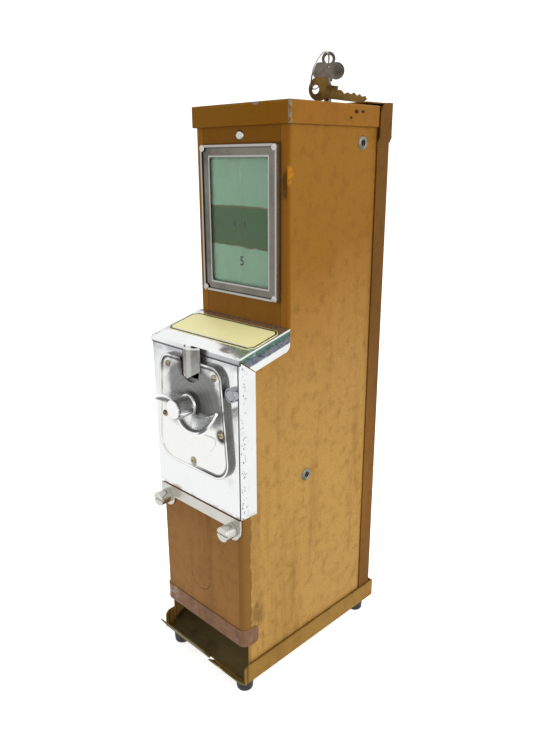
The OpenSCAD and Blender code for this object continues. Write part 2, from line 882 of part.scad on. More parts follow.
module foot_screws() {
    color([0.6, 0.6, 0.6])
        for (p = foot_places) {
            rod_z(p[0], p[1], -foot_h + 2.4, -foot_h + 5, 3.2);
            rod_z(p[0], p[1], -foot_h + 5 - eps, sheet, screw_r);
        }
}

eyelet_places = [[150.4, 481.6], [82.2, 187.2]];
eyelet_neck_r = 4;
eyelet_hole_r = 2.6;

module side_eyelets() {
    color([0.50, 0.50, 0.46])
        for (p = eyelet_places)
            translate([half_w, front + p[0], foot_h + p[1]]) rotate([0, 90, 0])
                difference() {
                    union() {
                        cylinder(r1 = 6.4, r2 = 5.2, h = 1.4);
                        translate([0, 0, -sheet - 1.2]) cylinder(r = eyelet_neck_r, h = 2);
                    }
                    translate([0, 0, -4]) cylinder(r = eyelet_hole_r, h = 7);
                }
}

// ---- handle and drive ----

wing_t = 2.4;
wing_dish_r = 70;

// crescent outline of a wing, u outwards and v away from its straight edge
module wing_outline(reach, depth) {
    bulge_r = reach / 2;
    difference() {
        intersection() {
            translate([bulge_r, depth - bulge_r]) circle(bulge_r);
            translate([0, -20]) square([reach + 1, 60]);
        }
        translate([reach * 0.55, -38]) circle(36);
    }
}

// one wing: a dished crescent leaning back at its upper edge and carried by the hub
module wing(reach, depth) {
    translate([0, -17, -3]) rotate([60, 0, 0]) intersection() {
        translate([0, 0, -8]) linear_extrude(16) mirror([0, 1]) wing_outline(reach, depth);
        translate([reach / 2, 0, wing_dish_r - wing_t]) difference() {
            sphere(wing_dish_r);
            sphere(wing_dish_r - wing_t);
        }
    }
}

module handle() {
    hub_back = boss_face - 0.5;
    color([0.72, 0.73, 0.72]) difference() {
        union() {
            rod_y(0, axis_z, -hub_reach, hub_back, hub_r);
            rod_y(0, axis_z, hub_back - 2.5, hub_back, hub_r + 2);
            translate([0, front, foot_h + axis_z]) {
                wing(wing_reach, 15);
                rotate([0, 180, 0]) wing(wing_reach, 8);
            }
        }
        rod_y(0, axis_z, -hub_reach + 4, 0, shaft_r);
    }
}

module drive_shaft() {
    color([0.65, 0.65, 0.67]) rod_y(0, axis_z, -hub_reach + 4, pinion_d1 + 4, shaft_r);
}

// notched disc that carries one coin from the pocket round to the guide
module coin_wheel() {
    d0 = 2.6;
    d1 = 6.2;
    notch_out = coin_wheel_r + 1;
    color([0.70, 0.62, 0.35]) difference() {
        union() {
            rod_y(0, axis_z, d0, d1, coin_wheel_r);
            rod_y(0, axis_z, d1 - eps, d1 + 7, 9);
        }
        rod_y(0, axis_z, d0 - 1, d1 + 8, shaft_r);
        rod_y(0, axis_z + 27, d0 - 1, d1 + 1, 11.2);
        block(-11.2, 11.2, d0 - 1, d1 + 1, axis_z + 27, axis_z + notch_out + 2);
        for (turn = [90, 150, 210, 270])
            translate([0, front, foot_h + axis_z]) rotate([0, turn, 0])
                translate([0, d0 - 1, 23]) rotate([-90, 0, 0]) cylinder(r = 7.5, h = 6);
    }
}

// straight-flanked gear tooth outline, pointing up from the origin at the root
module tooth_outline(m) {
    polygon([[-m * 1.02, -m * 0.3], [m * 1.02, -m * 0.3], [m * 0.72, m * 1.2],
             [m * 0.38, m * 2.15], [-m * 0.38, m * 2.15], [-m * 0.72, m * 1.2]]);
}

module pinion() {
    root_r = pitch_r - 1.2 * gear_module;
    color([0.70, 0.62, 0.35]) difference() {
        union() {
            rod_y(0, axis_z, pinion_d0, pinion_d1, root_r);
            for (i = [0 : pinion_teeth - 1])
                translate([0, front + pinion_d1, foot_h + axis_z])
                    rotate([90, 0, 0]) rotate([0, 0, 90 + i * 360 / pinion_teeth - 90])
                    translate([0, root_r]) linear_extrude(pinion_d1 - pinion_d0)
                    tooth_outline(gear_module);
            rod_y(0, axis_z, pinion_d0 - 6, pinion_d0 + eps, 8);
        }
        rod_y(0, axis_z, pinion_d0 - 7, pinion_d1 + 1, shaft_r);
    }
}

// hanger under the shelf with the rear bearing of the shaft
module shaft_bracket() {
    d0 = pinion_d1 + 1;
    d1 = d0 + 3;
    color("darkgray") difference() {
        union() {
            rod_y(0, axis_z, d0, d1, 10);
            front_sweep(d0, d1) polygon([[-10, axis_z], [10, axis_z], [10, axis_z - 4],
                                         [inner_w / 2, axis_z - 26], [inner_w / 2, axis_z - 34],
                                         [6, axis_z - 12], [-6, axis_z - 12], [-10, axis_z - 4]]);
            block(inner_w / 2 - 1.3, inner_w / 2, d0 - 14, d1, axis_z - 44, axis_z - 26);
        }
        rod_y(0, axis_z, d0 - 1, d1 + 1, shaft_r + running_fit);
    }
}

// ---- folder column ----

// sliding frame: a toothed front bar, a rear bar and a cross bar with two push fingers
module ejector_slide() {
    x0 = -inner_w / 2 + 1.5;
    bar_x1 = x0 + 62;
    rear_d0 = mag_rear_d + 4;
    finger_x1 = duct_x0 - mag_wall - slide_gap - push_travel;
    pitch = PI * gear_module;
    root_z = rack_z + 1.2 * gear_module;
    color([0.68, 0.68, 0.70]) {
        block(x0, bar_x1, pinion_d0, pinion_d1, root_z, slide_top_z);
        block(x0, bar_x1, rear_d0, rear_d0 + 6, slide_top_z - slide_t, slide_top_z);
        block(x0, finger_x1 - 0.5, pinion_d1 - eps, rear_d0 + eps, slide_top_z - slide_t,
              slide_top_z);
        for (d = finger_places)
            block(x0, finger_x1, d, d + finger_w, slide_top_z - eps,
                  shelf_z + shelf_t + finger_rise);
        intersection() {
            for (i = [-12 : 3])
                translate([(i + 0.5) * pitch, front + pinion_d1, foot_h + root_z])
                    rotate([90, 0, 0]) mirror([0, 1]) linear_extrude(pinion_d1 - pinion_d0)
                    tooth_outline(gear_module);
            block(x0, bar_x1, 0, case_d, 0, lid_z);
        }
    }
}

// shelf that the folders rest on, with finger slots, guides and the fall opening
module magazine_shelf() {
    d0 = pinion_d0 - 3;
    rear_d0 = mag_rear_d + 4;
    d1 = rear_d0 + 9;
    z1 = shelf_z + shelf_t;
    low = slide_top_z - slide_t - slide_gap;
    color("silver") difference() {
        union() {
            block(-inner_w / 2, inner_w / 2, d0, d1, shelf_z, z1);
            // hangers that fasten to the side walls
            for (side = [-1, 1])
                block(side < 0 ? -inner_w / 2 : inner_w / 2 - 1.2,
                      side < 0 ? -inner_w / 2 + 1.2 : inner_w / 2, d0, d1, z1 - eps, z1 + 12);
            // guide behind the rear bar and its hooked lower edge
            block(-inner_w / 2, inner_w / 2, rear_d0 + 6 + slide_gap, d1, low - 1.3, shelf_z + eps);
            block(-inner_w / 2, inner_w / 2, rear_d0 + 2, d1, low - 1.3, low);
            // guide in front of the toothed bar
            block(-inner_w / 2, inner_w / 2, d0, pinion_d0 - slide_gap, slide_top_z - 5,
                  shelf_z + eps);
        }
        block(duct_x0, duct_x1, mag_in_d, mag_rear_d, low - 3, z1 + 1);
        for (d = finger_places)
            block(-inner_w / 2 + 1.3, mag_x0 + push_travel, d - slide_gap,
                  d + finger_w + slide_gap, shelf_z - 1, z1 + 1);
    }
}

// column for the folders, open at the top and slotted at the rear
module magazine() {
    z0 = shelf_z + shelf_t;
    z1 = z0 + magazine_h;
    color([0.62, 0.62, 0.60]) difference() {
        flat_sweep(z0, z1) difference() {
            translate([mag_x0 - mag_wall, mag_front_d])
                square([mag_x1 - mag_x0 + 2 * mag_wall, mag_rear_d - mag_front_d + mag_wall]);
            translate([mag_x0, mag_in_d]) square([mag_x1 - mag_x0, mag_rear_d - mag_in_d]);
            translate([mag_x0 + 8, mag_rear_d - 1]) square([mag_x1 - mag_x0 - 16, 4]);
        }
        // way out for the lowest folder and way in for the fingers
        block(mag_x1 - 1, mag_x1 + 2, mag_in_d - 0.5, mag_rear_d + 0.3, z0 - 1, z0 + 1.9);
        block(mag_x0 - 2, mag_x0 + 1, mag_in_d + 11, mag_in_d + 46, z0 - 1, z0 + 1.6);
    }
}

// weight on top of the folders, with a pull knob
module follower() {
    z0 = shelf_z + shelf_t + finger_rise + 0.4;
    x0 = mag_x0 + slide_gap;
    x1 = mag_x1 - slide_gap;
    d0 = mag_in_d + slide_gap;
    d1 = mag_rear_d - slide_gap;
    color([0.40, 0.42, 0.44]) {
        block(x0, x1, d0, d1, z0, z0 + 2);
        block(x0 + 4, x1 - 4, d0 + 6, d1 - 6, z0 + 2 - eps, z0 + 14);
        rod_z((x0 + x1) / 2, (d0 + d1) / 2, z0 + 14 - eps, z0 + 20, 3);
        rod_z((x0 + x1) / 2, (d0 + d1) / 2, z0 + 20 - eps, z0 + 26, 6);
    }
}

// shaft that a pushed-off folder falls down, with flanges to the rear side walls
module folder_duct() {
    z0 = duct_floor_z;
    z1 = shelf_z;
    back = mag_rear_d;
    color([0.66, 0.66, 0.64]) difference() {
        union() {
            flat_sweep(z0, z1) difference() {
                translate([duct_x0 - mag_wall, mag_front_d])
                    square([duct_x1 - duct_x0 + 2 * mag_wall, back - mag_front_d + mag_wall]);
                translate([duct_x0, mag_in_d]) square([duct_x1 - duct_x0, back - mag_in_d]);
            }
            block(-inner_w / 2, inner_w / 2, back, back + mag_wall, z0, z0 + 70);
        }
        // relief at the lower front so that the folder can turn out onto the chute
        block(duct_x0 - 2, duct_x1 + 2, mag_front_d - 1, mag_in_d + 20, z0 - 1, z0 + 26);
    }
}

// sloped plate that leads a folder out to the lip
module delivery_chute() {
    t = 1.2;
    front_d = -1;
    front_z = sheet;
    half = inner_w / 2;
    side_h = 7;
    color([0.42, 0.38, 0.24]) {
        side_sweep(-half, half)
            polygon([[front_d, front_z], [front_d + 3, front_z], [chute_rear_d, chute_rear_z - t],
                     [chute_rear_d, chute_rear_z], [front_d + 2, front_z + t]]);
        for (side = [-1, 1])
            side_sweep(side < 0 ? -half : half - 1, side < 0 ? -half + 1 : half)
                polygon([[6, front_z + 2.6], [chute_rear_d, chute_rear_z - t],
                         [chute_rear_d, chute_rear_z + side_h], [6, front_z + side_h + 1]]);
    }
}

// trough that leads a coin from the wheel back to the cash box, left of the duct
module coin_guide() {
    run_d = mag_rear_d + 10;
    drop = 76;
    angle = atan(drop / run_d);
    wall = 1;
    wide = 13;
    x0 = -34;
    x1 = duct_x0 - 3;
    floor_len = run_d / cos(angle);
    outline = [[x0, 0], [wide, 0], [wide, 26], [x1, 56], [x1, floor_len], [x0, floor_len]];
    color([0.62, 0.62, 0.60]) {
        translate([0, front + 3, foot_h + axis_z - coin_wheel_r - 4]) rotate([-angle, 0, 0]) {
            linear_extrude(wall) polygon(outline);
            translate([0, 0, wall - eps]) linear_extrude(9) {
                translate([x0, 0]) square([wall, floor_len]);
                translate([wide - wall, 0]) square([wall, 26]);
                translate([x1 - wall, 56]) square([wall, floor_len - 56]);
                polygon([[wide - wall, 26], [wide, 26], [x1, 56], [x1 - wall, 56]]);
            }
        }
        // ears to the left wall
        for (d = [40, 100])
            block(-inner_w / 2, x0 + 0.5, d, d + 10, guide_z(d + 10, angle) + 1,
                  guide_z(d + 10, angle) + 3);
    }
}

// height of the trough floor at a depth
function guide_z(d, angle) = axis_z - coin_wheel_r - 4 - (d - 3) * tan(angle);

// open box for the coins, lifted out through the back
module cash_box() {
    t = 1;
    half = inner_w / 2 - 7.85;
    d0 = chute_rear_d + 5;
    d1 = case_d - 3;
    z0 = sheet;
    z1 = 122;
    color([0.66, 0.54, 0.27]) difference() {
        block(-half, half, d0, d1, z0, z1);
        block(-half + t, half - t, d0 + t, d1 - t, z0 + t, z1 + 1);
        rod_y(0, z1 + 3, d1 - 3, d1 + 1, 14);
    }
}

// ---- lock and keys ----

module lock_body() {
    color([0.72, 0.72, 0.70]) difference() {
        union() {
            rod_z(0, lock_d, door_top_z, door_top_z + collar_h, 9);
            rod_z(0, lock_d, lock_low_z, door_top_z + eps, lock_barrel_r);
        }
        rod_z(0, lock_d, lock_low_z - 1, door_top_z + collar_h + 1, lock_plug_r + running_fit);
    }
}

module lock_nut() {
    color([0.6, 0.6, 0.6])
        translate([0, front + lock_d, foot_h + door_top_z - door_t - 3]) difference() {
            cylinder(r = 10.8, h = 3, $fn = 6);
            translate([0, 0, -1]) cylinder(r = lock_barrel_r, h = 5);
        }
}

module lock_plug() {
    color([0.68, 0.66, 0.60]) difference() {
        union() {
            rod_z(0, lock_d, lock_low_z, door_top_z + collar_h - 0.4, lock_plug_r);
            rod_z(0, lock_d, lock_low_z - cam_t - 0.2, lock_low_z + eps, 3);
        }
        rod_z(0, lock_d, door_top_z - 6, door_top_z + collar_h + 1, 3.5);
        rod_z(0, lock_d, lock_low_z - 5, lock_low_z + 5, 1.2);
    }
}

module lock_cam() {
    z0 = lock_low_z - cam_t - 0.2;
    color([0.6, 0.6, 0.6]) difference() {
        union() {
            rod_z(0, lock_d, z0, z0 + cam_t, 6);
            block(-4.5, 4.5, lock_d, lock_d + cam_reach - 4.5, z0, z0 + cam_t);
            rod_z(0, lock_d + cam_reach - 4.5, z0, z0 + cam_t, 4.5);
        }
        rod_z(0, lock_d, z0 - 1, z0 + cam_t + 1, 3);
    }
}

module cam_screw() {
    z0 = lock_low_z - cam_t - 0.2;
    color([0.6, 0.6, 0.6]) {
        rod_z(0, lock_d, z0 - 1.6, z0, 4);
        rod_z(0, lock_d, z0 - eps, lock_low_z + 4, 1.2);
    }
}

// barrel key standing in the lock, with a bow of three lobes
module tubular_key() {
    lobe_r = 7.4;
    lobe_z = bow_hole_z - 10;
    bow_t = 2;
    color([0.42, 0.39, 0.36]) translate([0, front + lock_d, foot_h + door_top_z - 2])
        rotate([0, 0, bow_turn]) {
            difference() {
                union() {
                    cylinder(r = 3.45, h = 11);
                    translate([0, 0, 11 - eps]) cylinder(r = 3.0, h = 1.2 + 2 * eps);
                    translate([0, 0, 12.2]) cylinder(r = 3.45, h = 8);
                    translate([0, 0, 20.2 - eps]) cylinder(r1 = 3.45, r2 = 2.4, h = 2);
                    translate([0, 0, 22.2 - 2 * eps]) cylinder(r = 2.4, h = 4);
                }
                translate([0, 0, -6]) cylinder(r = 2, h = 14);
            }
            translate([0, bow_t / 2, 0]) rotate([90, 0, 0]) linear_extrude(bow_t) difference() {
                union() {
                    for (side = [-1, 1]) translate([side * 7.4, lobe_z]) circle(lobe_r);
                    translate([0, bow_hole_z]) circle(6.3);
                    translate([-4, 23]) square([8, lobe_z - 20]);
                }
                translate([0, bow_hole_z]) circle(3.6);
            }
        }
}

// wire ring through both key bows
module key_ring() {
    color([0.55, 0.55, 0.55])
        translate([ring_centre[0], front + lock_d + ring_centre[1],
                   foot_h + door_top_z + ring_centre[2]])
        rotate([0, ring_lean, ring_turn]) rotate_extrude() translate([ring_r, 0])
        circle(ring_wire_r);
}

// flat key held up by the ring, with the tip of its blade resting on the door
module flat_key() {
    t = 1.8;
    color([0.50, 0.41, 0.24])
        translate([flat_hole[0], front + lock_d + flat_hole[1],
                   foot_h + door_top_z + flat_hole[2]])
        rotate([0, 0, flat_turn]) rotate([0, flat_tilt, 0])
        translate([0, t / 2, 0]) rotate([90, 0, 0]) linear_extrude(t) difference() {
            union() {
                translate([3.5, 1]) circle(10.5);
                polygon([[11, -6.5], [48, -6.5], [52, -3], [50, -0.5], [47, -1.5], [44.5, 0.5],
                         [42, -1.2], [39, 1.2], [36, -0.4], [32.5, 0.8], [29.5, -1], [26, 2],
                         [22, 2], [22, 5], [11, 5]]);
            }
            circle(3.9);
        }
}

base_tray();
case_left();
case_right();
lower_front();
shelf_panel();
upper_front();
upper_strips();
corner_bends();
front_band();
lid();
striker();
rear_door();
door_flanges();
door_ears();
door_top();
window_frame();
window_glass();
price_card();
frame_screws();
front_screw();
front_cover();
hood();
instruction_label();
face_plate();
plate_screws();
coin_shroud();
clamp_strap();
strap_studs();
strap_nuts();
rubber_feet();
foot_screws();
side_eyelets();
handle();
drive_shaft();
coin_wheel();
pinion();
shaft_bracket();
ejector_slide();
magazine_shelf();
magazine();
follower();
folder_duct();
delivery_chute();
coin_guide();
cash_box();
button_bushing();
return_button();
lock_body();
lock_nut();
lock_plug();
lock_cam();
cam_screw();
tubular_key();
key_ring();
flat_key();
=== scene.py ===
"""Stamp vending machine: finished pieces and materials around its packed construction model."""

import json
import math

import bmesh
import bpy
from bpy.props import FloatProperty, FloatVectorProperty, IntProperty, PointerProperty
from mathutils import Matrix, Vector, geometry


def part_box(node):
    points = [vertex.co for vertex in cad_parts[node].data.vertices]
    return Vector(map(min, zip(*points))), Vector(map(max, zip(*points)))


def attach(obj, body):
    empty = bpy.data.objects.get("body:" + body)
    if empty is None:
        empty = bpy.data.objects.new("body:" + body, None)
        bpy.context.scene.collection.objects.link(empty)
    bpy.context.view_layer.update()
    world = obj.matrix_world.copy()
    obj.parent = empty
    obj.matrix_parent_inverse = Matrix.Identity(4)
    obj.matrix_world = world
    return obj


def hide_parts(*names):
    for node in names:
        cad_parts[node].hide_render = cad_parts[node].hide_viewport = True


bl_info = {
    "name": "Stamp Vending Machine",
    "version": (1, 0, 0),
    "blender": (4, 5, 0),
    "location": "3D View > Sidebar > Stamp Machine",
    "description": "Builds the finished look of a counter stamp vending machine",
    "category": "Object",
}

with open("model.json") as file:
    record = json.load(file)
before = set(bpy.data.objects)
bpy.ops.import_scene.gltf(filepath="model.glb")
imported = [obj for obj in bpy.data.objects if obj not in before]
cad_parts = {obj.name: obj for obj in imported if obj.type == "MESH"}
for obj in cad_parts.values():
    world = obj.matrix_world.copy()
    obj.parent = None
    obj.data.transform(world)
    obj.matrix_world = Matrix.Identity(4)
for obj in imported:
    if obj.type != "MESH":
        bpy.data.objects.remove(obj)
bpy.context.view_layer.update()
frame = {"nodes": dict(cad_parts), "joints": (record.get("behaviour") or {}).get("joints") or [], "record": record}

# the lower front face, the feet and the handle axis place everything else
TURNER = next(j for j in frame["joints"] if j["name"] == "handle_turn")
AXIS = Vector(TURNER["pos_m"])
FRONT = AXIS.y
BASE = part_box("base_tray")[0].z
SHAFT_UP = (AXIS.z - BASE) * 1000

# measures of the construction that the wear follows, in millimetres
LID_TOP = 512.6
STEP_BACK = 57.5
FRAME_HALF, FRAME_MID, FRAME_RISE = 47.0, 416.75, 63.75
CARD_HALF, CARD_MID = 36.0, 416.5
LABEL_MID, LABEL_HALF, LABEL_DEEP = 31.45, 56.5, 18.05
# moves a pattern off the origin, where all the octaves of a noise line up
OFF_ORIGIN = (0.37, 0.19, 0.23)
BODY_OF = {n: b for b, ns in frame["record"]["behaviour"]["bodies"].items() for n in ns}


def at(x, back, up):
    """Point from millimetres across, behind the lower front face and above the base."""
    return Vector((x / 1000, FRONT + back / 1000, BASE + up / 1000))


# ---------------------------------------------------------------- shader arithmetic


class Field:
    """A shader value that can be used in ordinary arithmetic."""

    def __init__(self, graph, socket):
        self.graph = graph
        self.socket = socket

    def _op(self, operation, first, second, clamp=False):
        settings = {"operation": operation, "use_clamp": clamp}
        return self.graph.add("ShaderNodeMath", settings, {0: first, 1: second})

    def __add__(self, other):
        return self._op("ADD", self, other)

    __radd__ = __add__

    def __sub__(self, other):
        return self._op("SUBTRACT", self, other)

    def __rsub__(self, other):
        return self._op("SUBTRACT", other, self)

    def __mul__(self, other):
        return self._op("MULTIPLY", self, other)

    __rmul__ = __mul__

    def __truediv__(self, other):
        return self._op("DIVIDE", self, other)

    def __pow__(self, other):
        return self._op("POWER", self, other)

    def __abs__(self):
        return self._op("ABSOLUTE", self, 0.0)

    def held(self):
        """The value kept between 0 and 1."""
        return self._op("ADD", self, 0.0, clamp=True)

    def larger(self, other):
        """The greater of two values."""
        return self._op("MAXIMUM", self, other)

    def ease(self, low, high):
        """Smooth step from 0 at low to 1 at high."""
        settings = {"interpolation_type": "SMOOTHSTEP"}
        return self.graph.add("ShaderNodeMapRange", settings, {0: self, 1: low, 2: high})


class Finish:
    """One procedural material, built from a Principled shader."""

    def __init__(self, name):
        self.material = bpy.data.materials.new(name)
        self.material.use_nodes = True
        self.tree = self.material.node_tree
        self.shader = self.tree.nodes["Principled BSDF"]
        self.place = self.add("ShaderNodeTexCoord", {"out": "Object"})

    def add(self, kind, settings=None, inputs=None):
        """Adds a node: its settings first, then its inputs, and returns one output."""
        node = self.tree.nodes.new(kind)
        out = 0
        for key, value in (settings or {}).items():
            if key == "out":
                out = value
            elif key == "stops":
                while len(node.color_ramp.elements) < len(value):
                    node.color_ramp.elements.new(1.0)
                for element, (spot, colour) in zip(node.color_ramp.elements, value):
                    element.position = spot
                    element.color = (*colour, 1.0) if len(colour) == 3 else colour
            else:
                setattr(node, key, value)
        for key, value in (inputs or {}).items():
            if isinstance(value, Field):
                self.tree.links.new(value.socket, node.inputs[key])
            else:
                node.inputs[key].default_value = value
        return Field(self, node.outputs[out])

    def millimetres(self):
        """Places across, behind the lower front face and above the base, in millimetres."""
        place = self.moved((0.0, -FRONT * 1000, -BASE * 1000), (1000, 1000, 1000))
        node = self.add("ShaderNodeSeparateXYZ", {}, {0: place}).socket.node
        return [Field(self, node.outputs[i]) for i in range(3)]

    def moved(self, offset=(0, 0, 0), scale=(1, 1, 1), turn=(0, 0, 0)):
        """The place, shifted, turned and stretched."""
        return self.add("ShaderNodeMapping", {}, {0: self.place, 1: offset, 2: turn, 3: scale})

    def noise(self, scale, detail=3.0, rough=0.55, place=None, bend=0.0):
        inputs = {"Vector": place or self.place, "Scale": scale, "Detail": detail,
                  "Roughness": rough, "Distortion": bend}
        return self.add("ShaderNodeTexNoise", {"out": "Fac"}, inputs)

    def cells(self, scale):
        inputs = {"Vector": self.place, "Scale": scale}
        return self.add("ShaderNodeTexVoronoi", {"out": "Distance"}, inputs)

    def ramp(self, level, stops):
        """A colour picked along a level from 0 to 1."""
        return self.add("ShaderNodeValToRGB", {"stops": stops}, {0: level})

    def disc(self, across, up, radius, soft):
        """One inside a radius round a place, nothing outside it."""
        return ((across * across + up * up) ** 0.5).ease(radius + soft, radius)

    def blend(self, amount, first, second):
        """Mixes two colours."""
        inputs = {0: amount, 6: self.colour(first), 7: self.colour(second)}
        return self.add("ShaderNodeMix", {"data_type": "RGBA", "out": 2}, inputs)

    @staticmethod
    def colour(value):
        return value if isinstance(value, Field) else (*value[:3], 1.0)

    def bump(self, height, strength, distance):
        inputs = {"Height": height, "Strength": strength, "Distance": distance}
        return self.add("ShaderNodeBump", {}, inputs)

    def out(self, **values):
        """Sets the shader's sockets; an underscore in a name stands for a space."""
        for key, value in values.items():
            socket = self.shader.inputs[key.replace("_", " ")]
            if isinstance(value, Field):
                self.tree.links.new(value.socket, socket)
            elif socket.type == "RGBA":
                socket.default_value = (*value[:3], 1.0)
            else:
                socket.default_value = value
        return self.material


def srgb(red, green, blue):
    """A screen colour in 0 to 255 as the linear colour that shaders take."""
    def line(v):
        v = v / 255
        return v / 12.92 if v <= 0.04045 else ((v + 0.055) / 1.055) ** 2.4
    return (line(red), line(green), line(blue))


# ---------------------------------------------------------------- finishes


def enamel(name, stops, grime, chip, specks=1.0, gloss=0.42, marks=None):
    """Old bronze enamel: tint by height, vertical runs, dull clouds, specks and chips."""
    f = Finish(name)
    x, y, z = f.millimetres()
    tall = f.moved(scale=(1.0, 1.0, 0.35))
    cloud = f.noise(9.0, 3.0, 0.55, tall)
    runs = f.noise(46.0, 4.0, 0.65, f.moved(scale=(1.0, 1.0, 0.09)))
    mottle = f.noise(85.0, 4.0, 0.7)
    grain = f.noise(850.0, 2.0, 0.6)
    colour = f.ramp(z / LID_TOP + (cloud - 0.5) * 0.22, stops)
    colour = f.blend(runs.ease(0.46, 0.78) * 0.42, colour, grime)
    colour = f.blend(mottle.ease(0.46, 0.74) * 0.34, colour, grime)
    colour = f.blend(grain.ease(0.42, 0.78) * 0.26, colour, grime)
    dull = f.noise(5.5, 5.0, 0.7, tall, 0.8).ease(0.60, 0.74)
    colour = f.blend(dull * 0.22, colour, grime)
    speck = f.cells(120.0).ease(0.085, 0.05) * f.noise(16.0, 2.0).ease(0.60, 0.66)
    chipped = f.noise(150.0, 3.0, 0.7).ease(0.760, 0.775)
    colour = f.blend(speck * 0.75 * specks, colour, tuple(c * 0.3 for c in grime))
    colour = f.blend(chipped * specks * 0.8, colour, chip)
    for mask, tint in marks(f, x, y, z) if marks else ():
        colour = f.blend(mask, colour, tint)
    rough = gloss + (cloud - 0.5) * 0.2 + grain * 0.08 + chipped * 0.3
    height = grain * 0.5 + mottle * 0.7 - chipped * 1.5 - speck * 0.8
    return f.out(Base_Color=colour, Roughness=rough.held(), Metallic=0.10,
                 Specular_IOR_Level=0.05, Normal=f.bump(height, 0.20, 0.0004))


def side_marks(f, x, y, z):
    """Front colour round the lower corner, its ragged edge, and stains near the foot."""
    wander = (f.noise(60.0, 5.0, 0.7) - 0.5) * 9.0 + (f.noise(300.0, 2.0) - 0.5) * 2.0
    low = z.ease(250.0, 190.0)
    wrap = (y + wander).ease(9.0, 8.4) * low
    rim = (y + wander).ease(10.2, 9.0) * low * z.ease(40.0, 60.0)
    yield rim * 0.6, srgb(86, 60, 24)
    yield wrap * 0.55, srgb(150, 104, 48)
    smudge = f.disc(y - 17.0, (z - 72.0) * 0.45, 4.0, 9.0) * f.noise(55.0, 4.0, 0.7).ease(0.40, 0.6)
    yield smudge * 0.55, srgb(104, 82, 38)
    drag = f.noise(160.0, 3.0, 0.6, f.moved(scale=(1.0, 1.0, 0.25), turn=(0.4, 0.0, 0.0)))
    yield drag.ease(0.55, 0.62) * f.disc(y - 17.0, z - 44.0, 9.0, 14.0) * 0.5, srgb(90, 74, 50)
    # worn hollow beside the card frame
    hollow = f.disc((y - 58.5) * 0.9, (z - 456.0) * 0.42, 2.2, 1.6)
    yield hollow * f.noise(240.0, 3.0).ease(0.40, 0.5) * 0.8, srgb(196, 130, 30)


def corner_marks(f, x, y, z):
    """Darker front side of the corner bends, above and below the shelf."""
    upper = z.ease(329.0, 330.0)
    turned = (y - upper * STEP_BACK).ease(3.6, 0.6)
    yield turned * (1.0 - upper), srgb(160, 116, 66)
    yield turned * upper * 0.75, srgb(136, 88, 20)
    yield from side_marks(f, x, y, z)


def front_marks(f, x, y, z):
    """Round scuff on the lower front, grime along its foot, and a smooth darkening from below the strap up behind
    the cover.
    """
    radius = ((x + 3.0) * (x + 3.0) + (z - 88.0) * (z - 88.0)) ** 0.5
    wobble = (f.noise(90.0, 2.0) - 0.5) * 1.6
    ring = (radius + wobble).ease(13.0, 13.5) * (radius + wobble).ease(14.5, 14.0)
    broken = f.noise(120.0, 2.0).ease(0.40, 0.52) * z.ease(98.0, 88.0)
    yield ring * broken * 0.7, srgb(84, 56, 26)
    yield z.ease(70.0, 54.0) * f.noise(70.0, 4.0).ease(0.3, 0.7) * 0.4, srgb(96, 66, 34)
    # smooth darkening from below the strap up behind the cover
    yield z.ease(120.0, 165.0) * z.ease(312.0, 300.0) * 0.25, srgb(90, 58, 26)


def upper_marks(f, x, y, z):
    """Seams beside the card frame, the frame's shadow line, painted light on the strips outside the seams, and the
    stain at the right edge.
    """
    seam = abs(abs(x) - 47.3).ease(0.45, 0.15)
    yield seam * 0.7, srgb(48, 30, 6)
    # the strips outside the seams are painted lighter, as painted light on the corner
    outside = abs(x).ease(47.3, 47.6)
    yield outside * 0.45, srgb(156, 102, 30)
    stain = f.disc((x - 53.0) * 1.4, (z - 448.0) * 0.50, 4.0, 5.0)
    yield stain * f.noise(70.0, 4.0, 0.7).ease(0.35, 0.55) * 0.8, srgb(72, 50, 18)
    frame_edge = (abs(x) - FRAME_HALF).larger(abs(z - FRAME_MID) - FRAME_RISE)
    yield frame_edge.ease(2.6, 0.4) * 0.5, srgb(50, 32, 10)


def lid_marks(f, x, y, z):
    """Darker front of the lid, rubbed top edge, a grey knock and a few chips."""
    yield y.ease(57.0, 55.6) * 0.85, srgb(124, 80, 4)
    edge = z.ease(510.6, 511.8) * f.noise(90.0, 4.0, 0.7).ease(0.42, 0.60)
    yield edge * 0.55, srgb(150, 118, 60)
    knock = f.disc((x - 22.0) * 0.5, z - 512.0, 1.6, 0.8) * y.ease(58.0, 56.0)
    yield knock, srgb(128, 128, 122)
    corner = f.disc(x - 59.6, y - 55.2, 1.3, 0.9) * f.noise(200.0, 3.0).ease(0.38, 0.52)
    yield corner * 0.8, srgb(138, 132, 118)
    for back, up, size in ((137.0, 506.5, 1.4), (146.0, 506.8, 1.0), (130.0, 501.5, 0.8)):
        yield f.disc((y - back) * 0.55, z - up, size, 0.4) * x.ease(58.0, 59.0), srgb(62, 36, 10)


def band_marks(f, x, y, z):
    """Rubbed left end with a pale painted highlight on its patches, reddish middle and scratched right end of the
    mouth band.
    """
    worn = f.noise(130.0, 5.0, 0.75)
    yield worn.ease(0.50, 0.66) * 0.45, srgb(160, 132, 112)
    # pale patches on the left end: rubbed enamel with a painted highlight
    yield x.ease(-30.0, -52.0) * worn.ease(0.45, 0.60) * 0.7, srgb(196, 178, 170)
    yield f.noise(200.0, 4.0, 0.7).ease(0.62, 0.70) * 0.6, srgb(66, 44, 34)
    yield (z - 47.0).ease(-7.6, -8.4) * 0.5, srgb(60, 42, 30)


